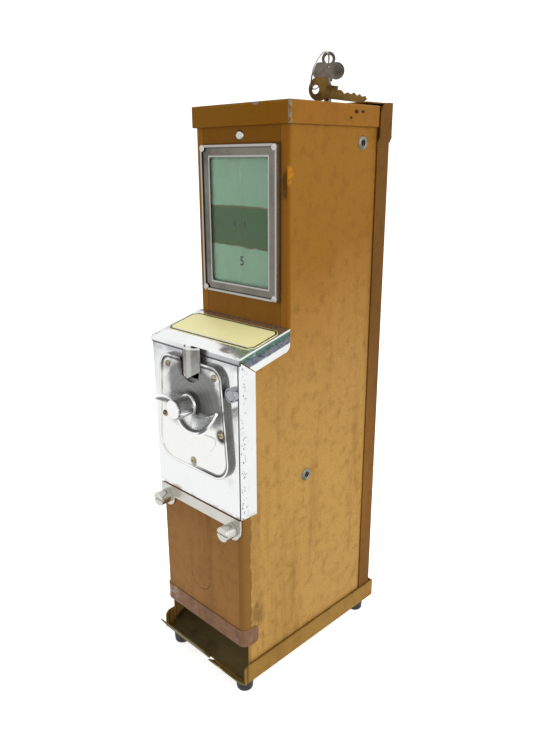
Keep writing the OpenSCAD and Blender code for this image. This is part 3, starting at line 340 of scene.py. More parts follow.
def tray_marks(f, x, y, z):
    """Dark olive floor and mouth, worn greenish lip with brassy glints."""
    inside = y.ease(-1.0, 1.5) * abs(x).ease(58.6, 58.2) * y.ease(60.0, 30.0)
    yield inside * 0.88, srgb(52, 42, 20)
    yield y.ease(3.0, 0.5) * y.ease(-1.0, -0.2) * 0.8, srgb(100, 72, 34)
    lip = y.ease(-1.5, -3.5)
    worn = f.noise(150.0, 4.0, 0.7)
    yield lip * 0.75, srgb(96, 88, 52)
    yield lip * worn.ease(0.52, 0.62) * 0.7, srgb(120, 128, 104)
    yield lip * f.noise(60.0, 2.0).ease(0.62, 0.68) * 0.9, srgb(206, 176, 96)
    yield z.ease(16.5, 18.5) * f.noise(80.0, 3.0).ease(0.4, 0.6) * 0.3, srgb(110, 86, 40)


def bright_plate(name, tint, rough=0.12, grime=0.5, pits=1.0, marks=None):
    """Old chrome: fine drag marks, dull clouds and pinprick pits."""
    f = Finish(name)
    x, y, z = f.millimetres()
    cloud = f.noise(18.0, 4.0, 0.6)
    drags = f.noise(55.0, 6.0, 0.75, f.moved(scale=(1.0, 1.0, 9.0), turn=(0.35, 0.2, 0.5)))
    fine = f.noise(220.0, 4.0, 0.7, f.moved(scale=(8.0, 8.0, 0.6), turn=(0.0, 0.5, 0.2)))
    pit = f.cells(230.0).ease(0.15, 0.08) * f.noise(26.0, 3.0).ease(0.58, 0.68)
    colour = f.blend(cloud.ease(0.45, 0.78) * 0.30 * grime, tint, tuple(c * 0.55 for c in tint))
    colour = f.blend(pit * 0.8 * pits, colour, (0.06, 0.055, 0.05))
    dull = pit * 0.7 * pits
    for mask, shade in marks(f, x, y, z) if marks else ():
        colour = f.blend(mask, colour, shade)
        dull = dull.larger(mask * 0.5)
    spread = rough + cloud.ease(0.4, 0.8) * 0.12 * grime + drags.ease(0.55, 0.8) * 0.10 + dull * 0.3
    height = drags * 0.3 + fine * 0.25 - pit * 0.8
    return f.out(Base_Color=colour, Metallic=(1.0 - dull * 0.6).held(), Roughness=spread.held(),
                 Normal=f.bump(height, 0.08, 0.0003))


def cover_marks(f, x, y, z):
    """Seam and speckled wear at the right edge, a painted blue-grey reflection at the upper left, grime round the
    face plate, and patchy painted shadow under the hood.
    """
    flat = y.ease(-0.6, -1.0)
    # painted blue-grey reflection towards the upper left
    upper_left_reflection = ((x + 58.0) * 0.8 + (312.0 - z)).ease(62.0, 6.0)
    yield upper_left_reflection * f.noise(26.0, 3.0, 0.5).ease(0.2, 0.8) * 0.55, (0.30, 0.33, 0.39)
    beside = f.disc((x - 45.0) * 1.3, (z - 258.0) * 0.20, 7.0, 9.0)
    yield beside * flat * f.noise(60.0, 5.0, 0.75).ease(0.42, 0.62) * 0.35, (0.34, 0.35, 0.34)
    # patchy painted shadow under the hood's lip
    yield z.ease(304.0, 309.0) * flat * f.noise(70.0, 4.0).ease(0.3, 0.6) * 0.5, (0.16, 0.17, 0.18)
    yield (x - 56.6).ease(-0.35, 0.0) * (x - 57.4).ease(0.35, 0.0) * flat, (0.02, 0.022, 0.025)
    dots = f.noise(330.0, 3.0, 0.8).ease(0.56, 0.63) * f.noise(45.0, 3.0).ease(0.36, 0.54)
    yield dots * y.ease(9.0, 1.0) * x.ease(58.0, 58.6) * 0.95, (0.05, 0.055, 0.05)
    yield z.ease(176.5, 173.5) * f.noise(120.0, 4.0).ease(0.40, 0.62) * 0.4, (0.20, 0.19, 0.17)


def hood_marks(f, x, y, z):
    """Front lip painted dark as a reflection with painted shadow along its lower edge, green tarnish, a painted
    dark reflection band and blue specks on the side flanges, and painted shadow with a brown reflection along the
    rear of the shelf.
    """
    front_edge = y.ease(0.4, 0.0) * z.ease(316.6, 315.8)
    # front lip: painted dark reflection, darker to the right
    yield front_edge * x.ease(-60.0, 55.0) * 0.55, (0.10, 0.11, 0.13)
    # lower edge of the lip: painted shadow
    yield front_edge * z.ease(313.0, 312.0) * 0.85, (0.03, 0.032, 0.036)
    side = abs(x).ease(58.0, 58.5)
    drop = 317.7 + y * 0.2435 - z
    blotch = f.noise(75.0, 5.0, 0.75)
    speckle = f.noise(380.0, 3.0, 0.8).ease(0.50, 0.60)
    green = side * drop.ease(1.2, 2.0) * drop.ease(8.0, 5.0)
    yield green * blotch.ease(0.30, 0.46), (0.07, 0.16, 0.11)
    # blue-grey band on the side flanges: painted reflection
    yield side * drop.ease(4.0, 6.0) * drop.ease(13.0, 11.0) * 0.9, (0.09, 0.105, 0.14)
    yield side * drop.ease(3.0, 5.0) * drop.ease(13.0, 11.0) * speckle * 0.8, (0.02, 0.025, 0.04)
    top = drop.ease(0.8, 0.3) * abs(x).ease(58.0, 57.4)
    yield top * (abs(x) - 50.0).ease(0.0, 6.0) * blotch.ease(0.50, 0.60) * 0.6, (0.16, 0.26, 0.18)
    smudge = top * f.disc((x - 37.0) * 0.5, y - 6.0, 3.0, 3.0)
    yield smudge * blotch.ease(0.42, 0.52), (0.24, 0.20, 0.18)
    yield top * f.disc((x - 51.0) * 0.7, y - 8.5, 3.0, 2.5) * 0.8, (0.30, 0.30, 0.13)
    # rear of the shelf against the case: painted shadow and painted brown reflection
    yield top * y.ease(51.0, 56.5) * 0.65, (0.10, 0.07, 0.04)


def worn_metal(name, tint, dark, rough=0.32, scale=1.0, metallic=0.95, marks=None):
    """Plain metal with cloudy oxide and a fine brushed grain."""
    f = Finish(name)
    x, y, z = f.millimetres()
    cloud = f.noise(40.0 * scale, 4.0, 0.62)
    brush = f.noise(260.0 * scale, 3.0, 0.7, f.moved(scale=(1.0, 1.0, 0.12)))
    speck = f.noise(700.0, 2.0, 0.6)
    colour = f.blend(cloud.ease(0.38, 0.72), tint, dark)
    colour = f.blend(speck.ease(0.60, 0.80) * 0.4, colour, tuple(c * 0.4 for c in dark))
    for mask, shade in marks(f, x, y, z) if marks else ():
        colour = f.blend(mask, colour, shade)
    spread = rough + (cloud - 0.5) * 0.3 + brush * 0.10
    return f.out(Base_Color=colour, Metallic=metallic, Roughness=spread.held(),
                 Normal=f.bump(brush * 0.6 + speck * 0.3, 0.14, 0.0003))


def frame_marks(f, x, y, z):
    """Painted highlights on the outer rim and inner edge of the card frame, painted shade inside the rim and in
    the opening, and a painted brown reflection in the field between.
    """
    edge = (abs(x) - FRAME_HALF).larger(abs(z - FRAME_MID) - FRAME_RISE)
    inner = (abs(x) - CARD_HALF).larger(abs(z - CARD_MID) - 53.75)
    streak = f.noise(60.0, 4.0, 0.7, f.moved(scale=(1.0, 1.0, 0.2)))
    # brown streaks: painted reflection of the brown case
    yield streak.ease(0.45, 0.70) * 0.5, (0.20, 0.16, 0.13)
    # dark line inside the outer rim: painted shade
    yield edge.ease(-3.2, -2.7) * edge.ease(-1.9, -2.3) * 0.75, (0.06, 0.05, 0.045)
    # outer rim: painted highlight
    yield edge.ease(-2.1, -1.7) * 0.8, (0.42, 0.41, 0.385)
    # inner edge: painted highlight
    yield inner.ease(1.7, 1.3) * 0.75, (0.46, 0.455, 0.43)
    # edge of the opening: painted shadow
    yield inner.ease(0.3, 0.0) * 0.9, (0.05, 0.05, 0.05)


def guard_marks(f, x, y, z):
    """Painted shade over the left third of the coin guard, a painted highlight down its bow and along its top,
    brass at its foot.
    """
    low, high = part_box("coin_shroud")
    share = (x / 1000 - low.x) / (high.x - low.x)
    # paler streak down the bow: painted highlight
    yield share.ease(0.50, 0.60) * share.ease(0.80, 0.70) * 0.6, (0.52, 0.52, 0.50)
    # left third: painted shade
    yield share.ease(0.40, 0.30) * 0.93, (0.020, 0.018, 0.016)
    yield f.disc(x - 0.5, z - 293.5, 1.4, 1.2) * 0.8, (0.60, 0.50, 0.24)
    # top edge: painted highlight
    yield z.ease(316.8, 318.0) * 0.7, (0.85, 0.85, 0.84)


def handle_marks(f, x, y, z):
    """Dark lines of painted shade beside the rims of the wings, dull streaks on the wings and round the hub, a
    dark band on the hub by its seat, and a painted highlight on the hub's end.
    """
    up = z - SHAFT_UP
    hub = (x * x + up * up) ** 0.5
    wing = hub.ease(9.5, 11.0)
    streak = f.noise(70.0, 4.0, 0.7, f.moved(scale=(1.0, 0.3, 1.0)))
    # dark lines beside the rims of the wings: painted shade
    yield wing * y.ease(-23.4, -22.8) * y.ease(-19.5, -21.0) * 0.85, (0.045, 0.045, 0.045)
    yield wing * y.ease(-13.0, -10.5) * streak.ease(0.36, 0.56) * 0.7, (0.16, 0.16, 0.15)
    barrel = hub.ease(9.8, 9.2) * y.ease(-27.5, -26.5)
    yield barrel * streak.ease(0.40, 0.58) * 0.8, (0.12, 0.12, 0.115)
    # dark band on the hub next to its seat
    yield hub.ease(10.2, 8.6) * y.ease(-9.0, -6.0) * 0.75, (0.08, 0.08, 0.07)
    end = y - (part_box("handle")[0].y - FRONT) * 1000
    # end of the hub: painted highlight
    yield end.ease(1.4, 0.8) * hub.ease(8.4, 7.8), (0.88, 0.88, 0.87)
    # dark line along the wings' front edges: painted shade
    yield end.ease(3.0, 2.4) * end.ease(0.9, 1.3) * hub.ease(9.4, 9.0) * 0.8, (0.10, 0.10, 0.10)


def turned_casting(name, tint, dark):
    """Face plate casting: bright outside, dull turned rings inside, a painted reflection below and at the left,
    painted shadow along its rim.
    """
    f = Finish(name)
    x, y, z = f.millimetres()
    up = z - SHAFT_UP
    radius = (x * x + up * up) ** 0.5
    wander = (f.noise(30.0, 3.0) - 0.5) * 1.6
    ring_place = f.add("ShaderNodeCombineXYZ", {}, {0: radius + wander, 1: 0.0, 2: 0.0})
    rings = f.noise(0.9, 4.0, 0.8, ring_place)
    broad = f.noise(0.17, 2.0, 0.6, ring_place)
    cloud = f.noise(30.0, 5.0, 0.65)
    patchy = f.noise(55.0, 5.0, 0.75)
    # the field turned dull round the shaft; below it and at the left it is painted bright as a painted reflection
    field = (radius + (patchy - 0.5) * 14.0).ease(44.0, 37.0)
    rubbed = (up + x * -0.15 + (cloud - 0.5) * 22.0).ease(-14.0, -24.0)
    left = (x + up * 0.1 + (cloud - 0.5) * 16.0).ease(-24.0, -34.0)
    dullness = field * (1.0 - rubbed) * (1.0 - left * 0.8)
    upper = up.ease(18.0, 30.0) * (patchy.ease(0.40, 0.60)) * 0.7
    dullness = dullness.larger(upper)
    colour = f.blend(cloud.ease(0.4, 0.75) * 0.12, tint, tuple(c * 0.8 for c in tint))
    colour = f.blend((dullness * (0.70 + rings * 0.45)).held(), colour, dark)
    colour = f.blend(rings.ease(0.52, 0.66) * dullness * 0.45, colour, tint)
    streaks = f.noise(90.0, 4.0, 0.8, ring_place).ease(0.58, 0.70)
    colour = f.blend(streaks * dullness * 0.35, colour, tuple(c * 0.35 for c in dark))
    # distance inside the plate's outline: round shoulders over a wider round foot
    side = (abs(x) - 29.0).larger(0.0)
    end = (z - 293.0).larger(0.0) + (223.0 - z).larger(0.0)
    width = 13.0 + ((293.0 - z) / 70.0).held() * 6.0
    inset = width - (side * side + end * end) ** 0.5
    # painted shadow in the groove inside the rim, heavier at the right and top, and painted shade at the plate's
    # outer edge
    shade = x.ease(-10.0, 20.0).larger(z.ease(285.0, 300.0))
    groove = inset.ease(1.5, 2.2) * inset.ease(5.0, 3.6)
    colour = f.blend(groove * shade * 0.85, colour, tuple(c * 0.16 for c in dark))
    colour = f.blend(inset.ease(0.5, 0.0) * 0.8, colour, tuple(c * 0.12 for c in dark))
    # painted shadow with patchy grime round the lower right screw, a dark ring round the shaft seat, and painted
    # shade behind the coin pocket
    grime_and_shade = f.disc(x - 38.8, z - 246.0, 4.0, 4.5) * patchy.ease(0.34, 0.52)
    grime_and_shade = grime_and_shade.larger(f.disc(x, up, 11.5, 3.5) * 0.55)
    grime_and_shade = grime_and_shade.larger(f.disc(x, (z - 211.0), 3.6, 1.6) * 0.6)
    grime_and_shade = grime_and_shade.larger(f.disc(x + 3.0, z - 300.0, 10.0, 7.0) * z.ease(282.0, 292.0) * 0.7)
    colour = f.blend(grime_and_shade, colour, (0.05, 0.04, 0.028))
    spread = 0.16 + dullness * 0.16 + broad.ease(0.4, 0.7) * 0.08 + cloud * 0.08 + grime_and_shade * 0.2
    height = rings * dullness * 0.8 + broad * 0.3 + cloud * 0.2
    return f.out(Base_Color=colour, Metallic=0.96, Roughness=spread.held(),
                 Normal=f.bump(height, 0.28, 0.0004))


def printed_card(name, paper, band, edge):
    """Faded green card with a darker torn band across its middle and painted shade along its edges."""
    f = Finish(name)
    x, y, z = f.millimetres()
    sheet = f.moved(OFF_ORIGIN)
    ragged = f.noise(90.0, 4.0, 0.6, sheet)
    tear = (ragged - 0.5) * 7.0 + (f.noise(22.0, 2.0, 0.55, sheet) - 0.5) * 8.0
    above = z - 429.0 + x * 0.02 + tear * 0.6
    below = z - 395.5 + x * 0.03 + tear * 0.8
    inside = above.ease(0.4, -0.4) * below.ease(-0.4, 0.4)
    patches = f.noise(40.0, 3.0, 0.55, sheet).ease(0.36, 0.5)
    torn = above.ease(2.2, 0.6) * above.ease(-0.6, 0.2) * patches
    torn = torn.larger(below.ease(-1.0, -0.2) * below.ease(1.2, 0.4) * 0.8)
    stain = f.noise(30.0, 4.0, 0.65, sheet)
    fibre = f.noise(600.0, 3.0, 0.7, sheet)
    faded = f.noise(16.0, 3.0, 0.5, f.moved(OFF_ORIGIN, (1.0, 1.0, 0.5)))
    colour = f.blend(stain.ease(0.40, 0.74) * 0.30, paper, tuple(c * 0.74 for c in paper))
    colour = f.blend(faded.ease(0.52, 0.72) * 0.35, colour, (0.80, 0.93, 0.80))
    colour = f.blend(inside, colour, f.blend(stain, band, tuple(c * 0.8 for c in band)))
    colour = f.blend(torn * 0.85, colour, edge)
    colour = f.blend(fibre.ease(0.5, 0.8) * 0.14, colour, tuple(c * 0.6 for c in paper))
    # painted shade along the card's edges, where the frame overhangs it
    border = (abs(x) - CARD_HALF).larger(abs(z - CARD_MID) - 53.5)
    colour = f.blend(border.ease(-3.0, -0.4) * 0.22, colour, tuple(c * 0.2 for c in band))
    foxing = f.cells(160.0).ease(0.10, 0.05) * f.noise(40.0, 2.0).ease(0.62, 0.68)
    colour = f.blend(foxing * 0.6, colour, edge)
    return f.out(Base_Color=colour, Roughness=0.72, Specular_IOR_Level=0.2,
                 Normal=f.bump(inside * 1.2 + fibre * 0.2 + stain * 0.6, 0.25, 0.0003))


def label_print(name, paper, ink):
    """Bare cream plate with a thin dark border inside a pale edge, cut corners and rubbed spots."""
    f = Finish(name)
    x, y, z = f.millimetres()
    across = abs(x)
    back = abs(y - LABEL_MID)
    edge = (across - LABEL_HALF).larger(back - LABEL_DEEP).larger((across + back - 69.55) * 0.75)
    border = edge.ease(-2.5, -2.2) * edge.ease(-0.25, -0.5)
    lower = (y - 17.6).ease(0.4, -0.4) * edge.ease(-1.6, -1.9)
    rubbed = f.noise(90.0, 5.0, 0.7).ease(0.60, 0.68)
    yellowed = f.noise(20.0, 3.0)
    aged = tuple(c * d for c, d in zip(paper, (0.97, 0.90, 0.62)))
    colour = f.blend(yellowed * 0.7, paper, aged)
    colour = f.blend(lower * 0.7, colour, (0.80, 0.80, 0.70))
    colour = f.blend(border * 0.95, colour, ink)
    colour = f.blend(rubbed * 0.35, colour, tuple(c * 0.7 for c in paper))
    spread = 0.34 + rubbed * 0.3 + yellowed * 0.1
    return f.out(Base_Color=colour, Roughness=spread.held(), Specular_IOR_Level=0.3,
                 Normal=f.bump(rubbed * -0.5 + yellowed * 0.3, 0.15, 0.0003))


def clear_glass(name):
    """Thin flat glass with a little dust."""
    f = Finish(name)
    pane = f.moved(OFF_ORIGIN)
    dust = f.noise(160.0, 4.0, 0.7, pane).ease(0.55, 0.85)
    smear = f.noise(12.0, 3.0, 0.55, pane)
    alpha = 0.03 + dust * 0.05 + smear * 0.03
    return f.out(Base_Color=(0.86, 0.93, 0.90), Roughness=(0.04 + dust * 0.2).held(),
                 Alpha=alpha, Specular_IOR_Level=0.6)


def foot_rubber(name):
    """Black rubber, dusty at the edges."""
    f = Finish(name)
    dust = f.noise(120.0, 4.0, 0.7)
    colour = f.blend(dust.ease(0.5, 0.85) * 0.5, (0.012, 0.012, 0.012), (0.10, 0.09, 0.08))
    return f.out(Base_Color=colour, Roughness=(0.55 + dust * 0.25).held(),
                 Normal=f.bump(f.noise(900.0, 2.0), 0.25, 0.0003))


def floor_sheet(name, shade, glow):
    """Plain pale studio sweep."""
    f = Finish(name)
    soft = f.noise(3.0, 2.0)
    colour = f.blend(soft * 0.1, shade, tuple(c * 0.98 for c in shade))
    return f.out(Base_Color=colour, Roughness=0.6, Specular_IOR_Level=0.2,
                 Emission_Color=shade, Emission_Strength=glow)


# ---------------------------------------------------------------- pieces


def keep(bm, name, node, material, smooth_angle=35.0, stands_for=()):
    """Turns a bmesh into a piece that rides with a construction node's body."""
    mesh = bpy.data.meshes.new(name)
    bm.to_mesh(mesh)
    bm.free()
    for face in mesh.polygons:
        face.use_smooth = True
    mesh.set_sharp_from_angle(angle=math.radians(smooth_angle))
    piece = bpy.data.objects.new(name, mesh)
    bpy.context.scene.collection.objects.link(piece)
    piece.data.materials.append(material)
    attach(piece, BODY_OF[node])
    if stands_for:
        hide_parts(*stands_for)
    return piece


def merged(node):
    """A bmesh of a construction node with its loose triangles joined into whole faces."""
    bm = bmesh.new()
    bm.from_mesh(frame["nodes"][node].data)
    for layer in list(bm.loops.layers.float_vector):
        bm.loops.layers.float_vector.remove(layer)
    bmesh.ops.remove_doubles(bm, verts=bm.verts, dist=2e-6)
    bmesh.ops.dissolve_limit(bm, angle_limit=math.radians(0.5), use_dissolve_boundaries=False,
                             verts=bm.verts, edges=bm.edges, delimit=set())
    return bm


def eased(node, material, width, segments=2):
    """A construction node with its sharp edges rounded, as bent sheet and old castings are."""
    piece = keep(merged(node), node + "_finish", node, material, stands_for=(node,))
    return round_edges(piece, width, segments)


def round_edges(piece, width, segments=2, angle=32.0):
    bevel = piece.modifiers.new("edges", "BEVEL")
    bevel.width = width
    bevel.segments = segments
    bevel.limit_method = "ANGLE"
    bevel.angle_limit = math.radians(angle)
    bevel.harden_normals = True
    bevel.use_clamp_overlap = True
    bevel.miter_outer = "MITER_ARC"
    return piece


def coated(material, *nodes):
    """Gives construction nodes that already have the right shape their finish."""
    for node in nodes:
        data = frame["nodes"][node].data
        data.materials.clear()
        data.materials.append(material)


# ---------------------------------------------------------------- settings


class PaintSettings(bpy.types.PropertyGroup):
    """Enamel colours."""

    top: FloatVectorProperty(name="Top", description="Enamel under the lid", size=3,
                             subtype="COLOR", min=0, max=1, default=(0.342, 0.153, 0.022))
    middle: FloatVectorProperty(name="Middle", description="Enamel at half height", size=3,
                                subtype="COLOR", min=0, max=1, default=(0.515, 0.283, 0.076))
    low: FloatVectorProperty(name="Low", description="Rubbed enamel above the base", size=3,
                             subtype="COLOR", min=0, max=1, default=(0.584, 0.332, 0.091))
    front: FloatVectorProperty(name="Front", description="Enamel of the upper front", size=3,
                               subtype="COLOR", min=0, max=1, default=(0.205, 0.078, 0.002))
    door: FloatVectorProperty(name="Back", description="Enamel of the lift-off back", size=3,
                              subtype="COLOR", min=0, max=1, default=(0.188, 0.082, 0.015))
    grime: FloatVectorProperty(name="Grime", description="Dirt and old varnish", size=3,
                               subtype="COLOR", min=0, max=1, default=(0.16, 0.064, 0.010))
    band: FloatVectorProperty(name="Band", description="Band over the mouth", size=3,
                              subtype="COLOR", min=0, max=1, default=(0.27, 0.145, 0.080))
    edge: FloatProperty(name="Sheet edge", description="Rounding of the sheet edges",
                        subtype="DISTANCE", unit="LENGTH", default=0.0004, min=0.0, max=0.002)


class MetalSettings(bpy.types.PropertyGroup):
    """Metal colours and the handle's shape."""

    chrome: FloatVectorProperty(name="Chrome", description="Colour of the chrome", size=3,
                                subtype="COLOR", min=0, max=1, default=(0.78, 0.785, 0.785))
    casting: FloatVectorProperty(name="Casting", description="Colour of the face plate", size=3,
                                 subtype="COLOR", min=0, max=1, default=(0.80, 0.80, 0.775))
    nickel: FloatVectorProperty(name="Nickel", description="Colour of the card frame", size=3,
                                subtype="COLOR", min=0, max=1, default=(0.17, 0.16, 0.135))
    segments: IntProperty(name="Edge segments", description="Steps across a rounded edge",
                          default=2, min=1, max=4)


class StageSettings(bpy.types.PropertyGroup):
    """Camera and light."""

    lens: FloatProperty(name="Lens", description="Focal length", subtype="DISTANCE_CAMERA",
                        unit="CAMERA", default=32.36, min=10, max=200)
    world: FloatProperty(name="Room light", description="Strength of the white room",
                         default=0.50, min=0, max=10)
    mirror: FloatProperty(name="Reflected room", description="The room as metal reflects it",
                          default=1.15, min=0, max=10)
    key: FloatProperty(name="Key light", description="Power of the large light on the right",
                       unit="POWER", default=14.0, min=0, max=500)


# ---------------------------------------------------------------- operators


class Step(bpy.types.Operator):
    """Shared base of the building steps."""

    bl_options = {"REGISTER"}

    def execute(self, context):
        self.build(context.scene)
        return {"FINISHED"}


class STAMP_OT_case(Step):
    """Case, lid and band over the delivery mouth"""

    bl_idname = "stamp.case"
    bl_label = "Case and lid"

    def build(self, scene):
        p = scene.stamp_paint
        fade = [(0.0, p.low), (0.34, p.low), (0.55, p.middle), (0.77, p.top), (1.0, p.top)]
        turn = [(0.0, p.low), (0.62, p.middle), (0.66, p.top), (1.0, p.top)]
        chip = srgb(70, 50, 30)
        coated(enamel("case_enamel", fade, p.grime, chip, marks=side_marks),
               "case_left", "case_right")
        coated(enamel("corner_enamel", turn, p.grime, chip, marks=corner_marks), "corner_bends")
        coated(enamel("front_enamel", [(0.0, (0.375, 0.183, 0.056)), (0.64, (0.33, 0.155, 0.040))],
                      p.grime, chip, marks=front_marks), "lower_front")
        coated(enamel("upper_enamel", [(0.62, (0.23, 0.096, 0.012)), (0.97, p.front)],
                      p.grime, chip, marks=upper_marks),
               "upper_front", "upper_strips", "shelf_panel")
        lid = enamel("lid_enamel", [(0.0, p.top), (1.0, (0.332, 0.138, 0.019))], p.grime,
                     srgb(96, 70, 40), marks=lid_marks)
        band = enamel("band_enamel", [(0.0, p.band), (1.0, p.band)], srgb(78, 50, 36),
                      srgb(150, 130, 112), specks=1.6, marks=band_marks)
        eased("lid", lid, p.edge * 1.6)
        eased("front_band", band, p.edge)


class STAMP_OT_base(Step):
    """Base tray with its delivery lip, chute and feet"""

    bl_idname = "stamp.base"
    bl_label = "Base and feet"

    def build(self, scene):
        p = scene.stamp_paint
        tan = srgb(168, 128, 60)
        tray = enamel("tray_enamel", [(0.0, tan), (1.0, tan)], p.grime, srgb(90, 76, 50),
                      specks=1.6, marks=tray_marks)
        dull = srgb(92, 78, 44)
        chute = enamel("chute_enamel", [(0.0, dull), (1.0, dull)], srgb(40, 32, 18),
                       srgb(120, 118, 100), specks=1.6, gloss=0.34)
        eased("base_tray", tray, p.edge)
        eased("delivery_chute", chute, p.edge * 0.5, segments=1)
        eased("rubber_feet", foot_rubber("foot_rubber"), 0.0008)


class STAMP_OT_back(Step):
    """Lift-off back and its lock"""

    bl_idname = "stamp.back"
    bl_label = "Back and lock"

    def build(self, scene):
        p = scene.stamp_paint
        paint = enamel("door_enamel", [(0.0, p.door), (0.30, tuple(c * 1.5 for c in p.door)),
                                       (0.60, p.door), (1.0, tuple(c * 0.95 for c in p.door))],
                       tuple(c * 0.35 for c in p.door), srgb(60, 44, 26))
        coated(paint, "rear_door", "door_flanges", "door_ears", "door_top")
        nickel = worn_metal("lock_nickel", (0.62, 0.60, 0.56), (0.30, 0.28, 0.25), 0.22)
        eased("lock_body", nickel, 0.0004)
        eased("lock_plug", nickel, 0.0002)


class STAMP_OT_window(Step):
    """Card frame with its glass, card and screws"""

    bl_idname = "stamp.window"
    bl_label = "Card window"

    def build(self, scene):
        m = scene.stamp_metal
        nickel = worn_metal("frame_nickel", m.nickel, tuple(c * 0.62 for c in m.nickel), 0.24,
                            marks=frame_marks)
        eased("window_frame", nickel, 0.0009, segments=3)
        screw = bright_plate("screw_chrome", (0.50, 0.49, 0.47), 0.16, 1.2, pits=0.3)
        eased("frame_screws", screw, 0.0002)
        eased("front_screw", screw, 0.0003)
        coated(clear_glass("window_glass"), "window_glass")
        coated(printed_card("faded_card", (0.60, 0.98, 0.68), (0.19, 0.34, 0.15),
                            srgb(150, 132, 84)), "price_card")
        ink = worn_metal("card_ink", (0.035, 0.045, 0.035), (0.07, 0.09, 0.07), 0.7,
                         metallic=0.0)
        self.number("card_number_high", "4 - 1", -1.0, 411.5, 9.0, ink)
        self.number("card_number_low", "5", 1.0, 379.5, 11.5, ink)

    @staticmethod
    def number(name, figures, across, up, height, ink):
        """Plain figures printed on the card, as a thin closed mesh."""
        text = bpy.data.curves.new(name + "_outline", "FONT")
        text.body = figures
        text.size = height / 1000
        text.extrude = 0.00004
        text.offset = 0.0002
        text.align_x = "CENTER"
        outline = bpy.data.objects.new(name + "_outline", text)
        bm = bmesh.new()
        bm.from_mesh(outline.to_mesh())
        outline.to_mesh_clear()
        bpy.data.objects.remove(outline)
        bmesh.ops.remove_doubles(bm, verts=bm.verts, dist=1e-7)
        spot = at(across, 0, up)
        spot.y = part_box("price_card")[0].y - 0.00006
        upright = Matrix.Rotation(math.pi / 2, 4, "X")
        bmesh.ops.transform(bm, matrix=Matrix.Translation(spot) @ upright, verts=bm.verts)
        keep(bm, name, "price_card", ink)


class STAMP_OT_cover(Step):
    """Chromed front cover, sloped shelf, strap and studs"""

    bl_idname = "stamp.cover"
    bl_label = "Front cover and shelf"

    def build(self, scene):
        m = scene.stamp_metal
        chrome = bright_plate("cover_chrome", m.chrome, marks=cover_marks)
        plain = bright_plate("strap_chrome", (0.56, 0.545, 0.50), 0.20, 1.6)
        # the hood's chrome carries real tarnish and painted reflections and shadow
        tarnish_and_painted_light = bright_plate("shelf_chrome", m.chrome, 0.16, 0.8, marks=hood_marks)
        eased("front_cover", chrome, 0.0004, m.segments)
        eased("hood", tarnish_and_painted_light, 0.0004, m.segments)
        eased("clamp_strap", plain, 0.0006, m.segments)
        eased("strap_studs", plain, 0.0006, m.segments)
        label = label_print("label_print", (0.98, 0.93, 0.52), srgb(28, 26, 22))
        coated(label, "instruction_label")


class STAMP_OT_plate(Step):
    """Face plate, its screws, coin guard and push button"""

    bl_idname = "stamp.plate"
    bl_label = "Face plate"

    def build(self, scene):
        m = scene.stamp_metal
        casting = turned_casting("face_casting", m.casting, tuple(c * 0.185 for c in m.casting))
        eased("face_plate", casting, 0.0005, 3)
        eased("plate_screws", worn_metal("screw_brass", srgb(186, 172, 146),
                                         srgb(84, 70, 52), 0.2, 3.0), 0.0002)
        eased("coin_shroud", worn_metal("guard_nickel", (0.33, 0.33, 0.31), (0.16, 0.155, 0.14),
                                        0.26, marks=guard_marks), 0.0004)
        dark = worn_metal("button_nickel", (0.34, 0.35, 0.38), (0.18, 0.18, 0.19), 0.15)
        eased("button_bushing", dark, 0.0004)
        eased("return_button", dark, 0.0004)


